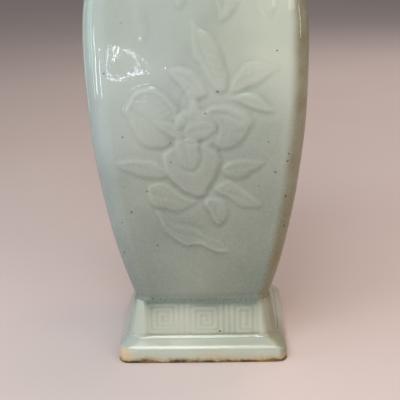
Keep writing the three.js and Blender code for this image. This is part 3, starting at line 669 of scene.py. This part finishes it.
def spiral_line(left, right, bottom, top):
    """A square spiral that starts at its lower right corner and winds inwards."""
    line = [(right, bottom)]
    x0, x1, z0, z1 = left, right, bottom, top
    while x1 - x0 > 0.3 and z1 - z0 > 0.3:
        line += [(x0, z0), (x0, z1), (x1, z1)]
        z0 += SPIRAL_UP
        line.append((x1, z0))
        x0, x1, z1 = x0 + SPIRAL_ACROSS, x1 - SPIRAL_ACROSS, z1 - SPIRAL_UP
    return np.array(line, float)


def fret_lines():
    lines = []
    x = FRET_START
    for width, bars, drop in FRET_GROUPS:
        lines.append(spiral_line(x, x + width, FRET_BOTTOM, FRET_TOP - drop))
        for i in range(1, bars + 1):
            bar = x + width + i * BAR_PITCH
            lines.append(np.array([(bar, FRET_BOTTOM), (bar, FRET_TOP - drop * 0.4)], float))
        x += width + (bars + 1) * BAR_PITCH
    return lines


def fret_relief():
    relief = Relief(*FRET_AREA, FRET_STEP)
    place, x, z = relief.window(np.array(FRET_AREA).T, 0)
    upright = smooth((z - SLOPE_TOP + 0.2) / 1.2)
    panel = smooth((PANEL_HALF - np.abs(x - PANEL_MIDDLE)) / 4.2) * upright
    relief.height[place] = -PANEL_DEPTH * panel
    for line in fret_lines():
        place, x, z = relief.window(line, 2)
        share = smooth((LINE_HALF - line_distance(line, x, z)[0]) / LINE_EDGE + 0.5)
        rise = FRET_RISE * share - PANEL_DEPTH
        relief.height[place] = np.maximum(relief.height[place], rise)
    relief.height = blurred(relief.height, 2.4, False)
    return relief


def waviness(points):
    """The slight unevenness of a pressed wall, always inwards."""
    x, y, z = points[..., 0], points[..., 1], points[..., 2]
    wave = np.sin(x / 11 + z / 17 + 1) * np.sin(z / 13 - y / 15)
    wave = wave + 0.5 * np.sin(x / 7 - y / 9 + z / 23)
    return 0.12 * (wave - 1.5)


# Glaze that gathers under edges, with painted shade under the lower edges and painted highlight on
# the upper ones,
# as if lit from the upper left: reach of the edge in rows, weight, and rows that the glaze runs
POOLING_AND_SHADING = [(1.5, 0.9, 2), (5, 0.35, 0)]


def glaze_depth(points, normals, across, shown):
    """Where the glaze pools, above 0, and where it runs thin, below 0, on the rows that show, with
    painted shade and painted highlight. It runs down, so it stands under raised edges and leaves
    the upper ones thin; as each place is set against the surface above it and to one side, this
    also paints shade and highlight as if lit from the upper left. The crease and the hollow above
    the plinth's slope get pooled glaze and painted shade, and the left and right sides below the
    crease get painted shade."""
    depth = np.zeros(points.shape[:2])
    skin, out = points[shown], normals[shown]
    last = len(skin) - 1
    for reach, weight, run in POOLING_AND_SHADING:
        upper = np.clip(np.arange(len(skin)) + run, 0, last)
        above = np.roll(blurred(skin, reach, True)[upper], run // 2, axis=1)
        depth[shown] += weight * np.sum((above - skin) * out, axis=2)
    # Pooled glaze and painted shade along the crease under the belly: a narrow band above it and a
    # longer fade down the collar below, on the faces and not round the corners
    rise = points[..., 2] - CREASE
    crease = np.where(rise > 0, 0.5 * ridge(rise, 1.2), np.minimum(1.3, 1.6 * np.exp(rise / 4.3)))
    crease = crease * smooth((39 - np.abs(across[..., 0])) / 8)
    # Pooled glaze and painted shade in the hollow just above the plinth's slope
    ledge = 0.35 * ridge(points[..., 2] - SLOPE_TOP - 1.6, 0.8)
    # Painted shade on the left and right sides below the crease, from just above the plinth's slope
    flank = 0.45 * (across[..., 1] % 2) * smooth((points[..., 2] - SLOPE_TOP) / 4) * (rise < 0)
    return depth + crease + ledge + flank


# How far the faces are tucked in at the crease, and where that ends
TUCK = 0.6
TUCK_TOP = WAIST + 3


def crease_tuck(rows, across):
    """On the faces the belly runs straight down to the crease; only the corners flow outwards."""
    reach = np.array([row[0] - row[2] for row in rows])
    face = 1 - smooth((np.abs(across[..., 0]) - reach[:, None] + 3) / 4)
    low = np.clip((TUCK_TOP - np.array([row[1] for row in rows])) / (TUCK_TOP - CREASE), 0, 1)
    return TUCK * face * (low ** 2)[:, None]


# Strength of the brown tint on the corners: front left, front right, back right, back left
CORNER_STAINS = [0.05, 1.0, 0.7, 0.4]


def corner_stain(rows, sides):
    """Brown tint along the upright corners, wider on the two plain sides."""
    stain = []
    for side, shares in enumerate(sides):
        strength = np.where(shares < 0, CORNER_STAINS[side], CORNER_STAINS[(side + 1) % 4])
        lead = np.full(len(shares), 0.4 * (side % 2))
        stain.append(np.stack([np.abs(shares), strength, lead], 1))
    share, strength, lead = np.concatenate(stain).T
    height = np.array([row[1] for row in rows])[:, None]
    start = lerp(0.5, 0.6, smooth((height - 100) / 90)) - lead
    return strength * smooth((share - start) / 0.36) * lerp(0.7, 1, smooth((height - 30) / 12))


# Pieces

def make_body():
    sides = [side_shares(FINE_STEPS), side_shares(PLAIN_STEPS)] * 2
    rows, first, end = body_rows()
    points, normals, across = surface(rows, sides, first, 1)
    moulded = np.isin(across[..., 1], (0, 2))
    outside = (np.arange(len(rows)) < end)[:, None]
    lift = spray_relief().sample(across[..., 0], points[..., 2]) * moulded * outside
    lift += waviness(points) * outside * smooth((points[..., 2] - CREASE - 1) / 8)
    lift -= crease_tuck(rows, across) * outside
    points = points + normals * lift[..., None]
    depth = glaze_depth(points, normals, across, slice(first, None))
    count, columns = points.shape[:2]
    skin = points.reshape(-1, 3)
    # A fan of triangles closes the floor, below and above
    ends = np.array([[0, 0, FLOOR_BOTTOM], [0, 0, FLOOR_TOP]])
    bottom = [[len(skin), i, (i + 1) % columns][::-1] for i in range(columns)]
    last = (count - 1) * columns
    top = [[len(skin) + 1, last + i, last + (i + 1) % columns] for i in range(columns)]
    faces = grid_faces(count, columns, False) + bottom + top
    piece = add_mesh("glazed_body", np.vstack([skin, ends]), faces)
    stain = corner_stain(rows, sides)
    add_numbers(piece, glaze_depth=np.append(depth, [0, 0]), corner=np.append(stain, [0, 0]))
    return piece


def make_foot():
    sides = [side_shares(FINE_STEPS)] * 4
    rows, end = foot_rows()
    points, normals, across = surface(rows, sides, end - 1, -1)
    collar = (points[..., 2] > SLOPE_TOP - 0.5) & (np.arange(len(rows)) < end)[:, None]
    lift = fret_relief().sample(across[..., 0], points[..., 2]) * collar
    points = points + normals * lift[..., None]
    depth = glaze_depth(points, normals, across, slice(0, end))
    faces = grid_faces(*points.shape[:2], True)
    piece = add_mesh("glazed_foot", points.reshape(-1, 3), faces)
    add_numbers(piece, glaze_depth=depth, corner=corner_stain(rows, sides))
    return piece


def quarter_turn(steps):
    """How far a rounded edge stays back and has come up, as shares of its radius."""
    turns = [i / steps * math.pi / 2 for i in range(steps + 1)]
    return [(1 - math.sin(turn), 1 - math.cos(turn)) for turn in turns]


def make_lug(name, side):
    """A tube with a squarish outside: up the outside and down the bore, with rounded edges."""
    low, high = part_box(name)
    bottom, top = low.z / MM, high.z / MM
    centre = side * (NECK_HALF + LUG_GAP + LUG_WIDTH / 2)
    half = LUG_WIDTH / 2
    angles = np.arange(LUG_STEPS) * 2 * math.pi / LUG_STEPS
    direction = np.stack([np.cos(angles), np.sin(angles)], 1)
    reach = (np.abs(direction / half) ** LUG_SQUARENESS).sum(1) ** (-1 / LUG_SQUARENESS)
    square = direction * reach[:, None]
    bore = direction * LUG_BORE / 2
    edge = LUG_EDGE
    outer, inner = quarter_turn(6), quarter_turn(4)
    levels = [i / 12 for i in range(1, 12)]
    rows = [(square * (1 - edge * back / half), bottom + edge * up) for back, up in outer]
    rows += [(square, lerp(bottom + edge, top - edge, level)) for level in levels]
    rows += [(square * (1 - edge * up / half), top - edge * back) for back, up in outer]
    rows += [(bore * (1 + edge * back * 2 / LUG_BORE), top - edge * up) for back, up in inner]
    rows += [(bore, lerp(top - edge, bottom + edge, level)) for level in levels]
    rows += [(bore * (1 + edge * up * 2 / LUG_BORE), bottom + edge * back) for back, up in inner]
    points = [np.column_stack([loop[:, 0] + centre, loop[:, 1], np.full(LUG_STEPS, z)])
              for loop, z in rows]
    piece = add_mesh("glazed_" + name, np.vstack(points), grid_faces(len(rows), LUG_STEPS, True))
    plain = np.zeros((len(rows), LUG_STEPS))
    add_numbers(piece, glaze_depth=plain, corner=plain)
    return piece


# Materials

def srgb(red, green, blue):
    def linear(value):
        value /= 255
        return value / 12.92 if value <= 0.04045 else ((value + 0.055) / 1.055) ** 2.4
    return linear(red), linear(green), linear(blue), 1


# The pale colour is thin glaze and also painted sheen; the lower body's colour is painted shade;
# the pooled colour is pooled glaze and also painted shade
THIN_AND_SHEEN = srgb(192, 199, 184)
BODY = srgb(168, 176, 166)
BODY_SHADED = srgb(141, 148, 137)
FOOT = srgb(184, 187, 173)
POOLED_AND_SHADE = srgb(100, 113, 104)
STAIN = srgb(112, 98, 62)
IRON = srgb(70, 62, 42)
TAN = [(0.4, srgb(136, 116, 78)), (0.58, srgb(182, 152, 110))]
CLAY = [(0.42, srgb(62, 46, 26)), (0.54, srgb(112, 86, 50)), (0.7, srgb(166, 130, 84))]
CLAY_BLUSH = srgb(206, 160, 112)
SCORCHED = srgb(222, 182, 134)
FLOOR_CLOTH = [(0.3, srgb(230, 211, 205)), (0.7, srgb(236, 218, 212))]
WARM_TINT = (0.98, 0.97, 0.9, 1)
# Painted cool window light
WINDOW_LIGHT_TINT = (0.94, 1.0, 1.12, 1)

# The glaze: the value of pooled glaze and painted shade that has their full colour, and the least
# roughness
GLAZE_IOR = 1.55
DEEPEST = 1.1
BODY_ROUGHNESS = 0.02
FOOT_ROUGHNESS = 0.09
ROUGHNESS_SPREAD = 0.025
RIPPLE_SHARE = 0.13
BUMP_STRENGTH = 0.22
BUMP_HEIGHT = 0.0007

# Painted shade and painted sheen on the body, in metres, from where each starts to where it is
# full: levels up the pot and places across it
LOW_SHADE_LEVELS = (0.169, 0.11)
CORNER_SHADE_LEVELS = (0.095, 0.04)
CORNER_SHADE_ACROSS = (0.0, 0.038)
RIGHT_SHADE_LEVELS = (0.125, 0.05)
RIGHT_SHADE_ACROSS = (0.0, 0.035)
SHEEN_LEVELS = (0.155, 0.185)
SHEEN_ACROSS = (0.012, 0.036)

# Painted cool window light: round the left corner, and over the upper left of the front
COOL_CORNER = (-0.03, -0.05)
COOL_ACROSS = (0.006, -0.02)
COOL_LEVELS = (0.14, 0.16)
COOL_FRONT = (-0.005, -0.035)

# The foot's lower edge: levels, how far the glaze's end wanders up and down, and its roughness
BLUSH_LEVELS = (0.009, 0.003)
TAN_LEVELS = (0.004, 0.0016)
BARE_LEVELS = (0.002, 0.0013)
EDGE_WANDER = 0.0014
BARE_ROUGHNESS = 0.55

# Fine iron specks all over: scale, reach and the share of the cells that have one
SPECKS = [(210, 0.12, 0.09), (95, 0.07, 0.05)]

# Iron spots in the front's glaze: x, z and radius
IRON_SPOTS = [
    (-37.6, 197.4, 0.8), (11.4, 161.1, 1.1), (-27.3, 138.5, 0.9), (-39.6, 137, 0.7),
    (-14.1, 133.8, 0.9), (-27.8, 105.9, 1.0), (-3.3, 105.4, 0.6), (-37.2, 93.4, 0.9),
    (-23.9, 72.5, 0.8), (9.1, 95.6, 0.8), (41.7, 115.8, 0.9), (32.6, 107.8, 0.6),
    (48.9, 126, 0.8), (48.2, 121.8, 0.9), (47.3, 101.3, 1.1), (46.8, 82.8, 1.1),
]

# Warm patch on the plinth's front left corner, and its radius
SCORCH = (-48.5, -50, 5)
SCORCH_RADIUS = 9.5


class Nodes:
    """Short calls for a material's nodes."""

    def __init__(self, name):
        self.material = bpy.data.materials.new(name)
        self.material.use_nodes = True
        self.tree = self.material.node_tree
        self.shader = self.tree.nodes["Principled BSDF"]
        self.place = self.node("TexCoord").outputs["Object"]

    def link(self, value, socket):
        if isinstance(value, (int, float, tuple)):
            socket.default_value = value
        else:
            self.tree.links.new(value, socket)

    def node(self, kind, inputs=None, **settings):
        """A new node, with its inputs, by name or number, set to a value or linked."""
        node = self.tree.nodes.new("ShaderNode" + kind)
        for name, value in settings.items():
            setattr(node, name, value)
        for key, value in (inputs or {}).items():
            self.link(value, node.inputs[key])
        return node

    def noise(self, scale, detail, rough=0.5):
        inputs = {"Scale": scale, "Detail": detail, "Roughness": rough, "Vector": self.place}
        return self.node("TexNoise", inputs).outputs["Fac"]

    def ramp(self, value, stops):
        node = self.node("ValToRGB", {"Fac": value})
        elements = node.color_ramp.elements
        while len(elements) < len(stops):
            elements.new(0.5)
        for element, (place, colour) in zip(elements, stops):
            element.position = place
            element.color = colour
        return node.outputs["Color"]

    def math(self, kind, a, b=0.0, clamp=False):
        return self.node("Math", {0: a, 1: b}, operation=kind, use_clamp=clamp).outputs[0]

    def total(self, a, b, clamp=False):
        return self.math("ADD", a, b, clamp)

    def product(self, a, b):
        return self.math("MULTIPLY", a, b)

    def spread(self, value, low, high, out_low=0.0, out_high=1.0):
        """Carries the range from low to high over to out_low to out_high, held at its ends."""
        inputs = {"Value": value, "From Min": low, "From Max": high,
                  "To Min": out_low, "To Max": out_high}
        return self.node("MapRange", inputs).outputs["Result"]

    def cloud(self, scale, detail, low, high, rough=0.5):
        """Soft noise that wanders between low and high."""
        return self.spread(self.noise(scale, detail, rough), 0.3, 0.7, low, high)

    def mix(self, share, a, b, kind="MIX"):
        """Mixes colours, whose sockets are inputs 6 and 7 and output 2 of the node."""
        inputs = {0: share, 6: a, 7: b}
        return self.node("Mix", inputs, data_type="RGBA", blend_type=kind).outputs[2]

    def tinted(self, share, colour, tint):
        return self.mix(share, colour, self.mix(1.0, colour, tint, "MULTIPLY"))

    def attribute(self, name):
        return self.node("Attribute", attribute_name=name).outputs["Fac"]

    def axis(self, name):
        return self.node("SeparateXYZ", {0: self.place}).outputs[name]

    def specks(self, scale, reach, share):
        """Round specks in a share of the cells of a pattern."""
        cells = self.node("TexVoronoi", {"Scale": scale, "Vector": self.place})
        pick = self.node("SeparateColor", {0: cells.outputs["Color"]})
        near = self.spread(cells.outputs["Distance"], reach, reach * 0.5)
        return self.product(near, self.math("GREATER_THAN", pick.outputs[0], 1 - share))

    def spot(self, at, radius):
        """A soft spot round a point, both in millimetres."""
        inputs = {0: self.place, 1: tuple(float(v) * MM for v in at)}
        away = self.node("VectorMath", inputs, operation="DISTANCE").outputs["Value"]
        return self.spread(away, radius * MM, radius * MM * 0.3, 0.0, 0.85)

    def bump(self, height, strength, distance):
        inputs = {"Height": height, "Strength": strength, "Distance": distance}
        self.link(self.node("Bump", inputs).outputs["Normal"], self.shader.inputs["Normal"])

    def finish(self, colour, roughness):
        self.link(colour, self.shader.inputs["Base Color"])
        self.link(roughness, self.shader.inputs["Roughness"])
        return self.material


def body_shade_and_sheen(n, colour, depth):
    """Painted shade that darkens the glaze towards the bottom, most by the lower corners and over
    the lower right, and a painted sheen at the upper right.
    """
    across = n.axis("X")
    level = n.total(n.axis("Z"), n.cloud(14, 2, -0.012, 0.012))
    low = n.ramp(depth, [(0.0, BODY), (0.5, BODY_SHADED), (1.0, POOLED_AND_SHADE)])
    colour = n.mix(n.spread(level, *LOW_SHADE_LEVELS), colour, low)
    # Painted shade by the lower corners and over the lower right
    ends = n.spread(n.math("ABSOLUTE", across), *CORNER_SHADE_ACROSS, 0.2, 1.0)
    ends = n.product(ends, n.spread(level, *CORNER_SHADE_LEVELS))
    right = n.spread(across, *RIGHT_SHADE_ACROSS, 0.0, 0.6)
    right = n.product(right, n.spread(level, *RIGHT_SHADE_LEVELS))
    colour = n.mix(n.product(n.total(ends, right), 0.5), colour, POOLED_AND_SHADE)
    # Painted sheen over the upper right
    upper = n.product(n.spread(across, *SHEEN_ACROSS), n.spread(level, *SHEEN_LEVELS))
    return n.mix(n.product(upper, 0.8), colour, THIN_AND_SHEEN)


def painted_window_light(n):
    """How much painted cool window light a place has."""
    across = n.axis("X")
    upper = n.spread(across, *COOL_ACROSS, 0.0, 0.55)
    upper = n.product(upper, n.spread(n.axis("Z"), *COOL_LEVELS))
    left = n.math("MAXIMUM", n.spread(across, *COOL_CORNER), upper)
    return n.product(left, n.spread(n.axis("Y"), *COOL_FRONT, 0.35, 1.0))


def under_glaze(x, z):
    """The y of a place 0.3 mm under the front of the belly."""
    loop = loop_points(belly_row(z), [side_shares(FINE_STEPS)])[0]
    return loop[np.argmin(np.abs(loop[:, 0] - x)), 1] + 0.3


def bare_edge(n, colour, roughness):
    """Where the foot's glaze ends: blushing and scorched, then tan, then dull brown clay."""
    colour = n.mix(n.spot(SCORCH, SCORCH_RADIUS), colour, SCORCHED)
    patches = n.spread(n.noise(38, 2), 0.48, 0.66, 0.0, 0.4)
    low = n.spread(n.axis("Z"), *BLUSH_LEVELS)
    colour = n.mix(n.product(patches, low), colour, CLAY_BLUSH)
    edge = n.total(n.axis("Z"), n.cloud(90, 4, -EDGE_WANDER, EDGE_WANDER, 0.7))
    colour = n.mix(n.spread(edge, *TAN_LEVELS), colour, n.ramp(n.noise(55, 3, 0.6), TAN))
    bare = n.spread(edge, *BARE_LEVELS)
    colour = n.mix(bare, colour, n.ramp(n.noise(110, 4, 0.7), CLAY))
    return colour, n.total(roughness, n.product(bare, BARE_ROUGHNESS))


def celadon(name, bare_foot):
    """Grey-green glaze, dark where it pools and pale where it runs thin, with painted shade and
    highlight, a painted sheen and painted cool window light, stained and specked by iron. The
    foot's is paler and duller and ends at a bare edge."""
    n = Nodes(name)
    n.shader.inputs["IOR"].default_value = GLAZE_IOR
    # Pooled glaze and painted shade darken the colour; thin glaze and painted highlight make it
    # paler
    depth = n.spread(n.attribute("glaze_depth"), -DEEPEST, DEEPEST)
    depth = n.total(depth, n.cloud(24, 3, -0.13, 0.13), clamp=True)
    colour = n.ramp(depth, [(0.0, THIN_AND_SHEEN), (0.5, FOOT if bare_foot else BODY), (1.0, POOLED_AND_SHADE)])
    if not bare_foot:
        # Painted shade towards the bottom and painted sheen at the upper right
        colour = body_shade_and_sheen(n, colour, depth)
    colour = n.tinted(n.spread(n.noise(9, 2), 0.35, 0.65), colour, WARM_TINT)
    patchy = n.spread(n.noise(35, 3), 0.35, 0.65, 0.6, 0.95)
    colour = n.mix(n.product(n.attribute("corner"), patchy), colour, STAIN)
    # Painted cool light of the window on the left
    colour = n.tinted(painted_window_light(n), colour, WINDOW_LIGHT_TINT)
    colour = n.mix(n.cloud(700, 2, 0.0, 0.12), colour, THIN_AND_SHEEN)
    for scale, reach, share in SPECKS:
        colour = n.mix(n.specks(scale, reach, share), colour, IRON)
    dull = FOOT_ROUGHNESS if bare_foot else BODY_ROUGHNESS
    roughness = n.cloud(60, 2, dull, dull + ROUGHNESS_SPREAD)
    if bare_foot:
        colour, roughness = bare_edge(n, colour, roughness)
    else:
        for x, z, radius in IRON_SPOTS:
            colour = n.mix(n.spot((x, under_glaze(x, z), z), radius), colour, IRON)
    waves = n.total(n.noise(70, 1), n.product(n.noise(330, 1), RIPPLE_SHARE))
    n.bump(waves, BUMP_STRENGTH, BUMP_HEIGHT)
    return n.finish(colour, roughness)


# Stage

MIDDLE = (0, 0, 0.13)

# Lamps: name, place, aim, size, watts and colour
LAMPS = [
    ("key", (-0.32, -0.92, 1.15), MIDDLE, (0.8, 0.6), 8.0, (0.92, 1.0, 1.07)),
    ("front", (0.02, -1.05, 0.84), (0, 0, 0.02), (0.5, 0.5), 3.5, (1, 1, 1)),
    ("room", (0.8, -0.9, 0.75), MIDDLE, (0.8, 0.7), 4.1, (1.0, 0.9, 0.8)),
    ("above", (0.4, 0.25, 1.3), (0.3, 0.1, 0), (0.5, 0.5), 2.3, (1.0, 0.62, 0.4)),
    ("behind", (0.4, 1.0, 0.7), (0.2, 0.35, 0), (0.6, 0.6), 1.7, (1.0, 0.93, 0.9)),
    ("side_window", (-0.85, -0.12, 0.3), MIDDLE, (0.3, 0.5), 0.4, (0.55, 0.82, 1.0)),
]

# Bright bars of a window, mirrored by the glaze. Panes: ends (x, z) in a plane before the vase,
# turned towards the glint. Streaks: azimuth in degrees from the front towards -X, lowest and
# highest z, width, radiance and colour.
SKY = (0.78, 0.92, 1.0)
SUN = (1.0, 0.93, 0.78)
GLINT = Vector((-0.038, -0.061, 0.178))
PANE_PLANE = -0.51
PANE_BAR = 0.0025
PANE_WATTS = 0.005
PANES = [((-0.1256, 0.133), (-0.1256, 0.088)), ((-0.113, 0.129), (-0.113, 0.100)),
         ((-0.104, 0.127), (-0.088, 0.074)), ((-0.1235, 0.084), (-0.088, 0.072))]
CORNER_AXIS = Vector((-0.047, -0.047, 0))
STREAK_REACH = 0.5
STREAKS = [(34, 0.02, 0.11, 0.02, 18, SKY), (56, 0.03, 0.2, 0.018, 26, SKY),
           (71, 0.02, 0.36, 0.016, 11, SKY), (86, 0.1, 0.4, 0.014, 7, SKY),
           (128, 0.02, 0.34, 0.03, 3, SKY), (-80, 0.14, 0.3, 0.03, 6, SUN)]

WORLD_COLOUR = (0.9, 0.93, 0.95, 1)
WORLD_STRENGTH = 0.18
FLOOR_HALF_WIDTH = 4.0


def add_area(name, at, aim, size, watts, colour):
    """A rectangular lamp that the camera doesn't see."""
    light = bpy.data.lights.new(name, "AREA")
    light.shape = "RECTANGLE"
    light.size, light.size_y = size
    light.energy = watts
    light.color = colour
    lamp = add_object(name, light)
    lamp.location = at
    lamp.visible_camera = False
    lamp.rotation_euler = (Vector(aim) - Vector(at)).to_track_quat("-Z", "Y").to_euler()
    return lamp


def add_streak(name, azimuth, low, high, width, radiance, colour):
    """An upright bar beside a front corner of the vase, facing it."""
    turn = math.radians(azimuth)
    away = Vector((-math.sin(turn), -math.cos(turn), 0))
    corner = CORNER_AXIS if azimuth > 0 else Vector((-CORNER_AXIS.x, CORNER_AXIS.y, 0))
    aim = corner + Vector((0, 0, (low + high) / 2))
    size = (width, high - low)
    watts = radiance * math.pi * size[0] * size[1]
    add_area(name, aim + away * STREAK_REACH, aim, size, watts, colour)


def add_pane(name, start, end):
    """A thin bar of a window frame, from one (x, z) to another."""
    run = Vector((end[0] - start[0], 0, end[1] - start[1]))
    at = ((start[0] + end[0]) / 2, PANE_PLANE, (start[1] + end[1]) / 2)
    lamp = add_area(name, at, GLINT, (PANE_BAR, run.length), PANE_WATTS, SKY)
    towards = (GLINT - Vector(at)).normalized()
    up = (run - towards * run.dot(towards)).normalized()
    side = up.cross(-towards)
    lamp.rotation_euler = Matrix((side, up, -towards)).transposed().to_euler()


def make_world():
    world = bpy.context.scene.world or bpy.data.worlds.new("world")
    bpy.context.scene.world = world
    world.use_nodes = True
    background = world.node_tree.nodes["Background"]
    background.inputs["Color"].default_value = WORLD_COLOUR
    background.inputs["Strength"].default_value = WORLD_STRENGTH


def make_floor():
    half = FLOOR_HALF_WIDTH
    corners = [(-half, -half, 0), (half, -half, 0), (half, half, 0), (-half, half, 0)]
    mesh = bpy.data.meshes.new("floor")
    mesh.from_pydata(corners, [], [(0, 1, 2, 3)])
    floor = add_object("floor", mesh)
    n = Nodes("pale_floor")
    floor.data.materials.append(n.finish(n.ramp(n.noise(3, 2), FLOOR_CLOTH), 0.8))


make_camera()

foot = make_foot()
foot.data.materials.append(celadon("foot_glaze", True))
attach(foot, "root")
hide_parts(*[f"foot_{side}_wall" for side in ("front", "right", "back", "left")])

body_glaze = celadon("body_glaze", False)
body = make_body()
body.data.materials.append(body_glaze)
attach(body, "root")
walls = [f"{part}_{side}_wall" for part in ("belly", "neck")
         for side in ("front", "right", "back", "left")]
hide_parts("floor_slab", "mouth_rim", *walls)

for name, side in (("left_lug", -1), ("right_lug", 1)):
    lug = make_lug(name, side)
    lug.data.materials.append(body_glaze)
    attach(lug, "root")
    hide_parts(name)

# The part's own nodes have the glaze too, wherever one of them is shown
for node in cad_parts:
    for slot in bpy.data.objects[node].material_slots:
        slot.material = body_glaze

make_floor()
for lamp in LAMPS:
    add_area(*lamp)
for i, streak in enumerate(STREAKS):
    add_streak(f"streak_{i}", *streak)
for i, pane in enumerate(PANES):
    add_pane(f"pane_{i}", *pane)
make_world()
bpy.context.scene.view_settings.view_transform = "Standard"
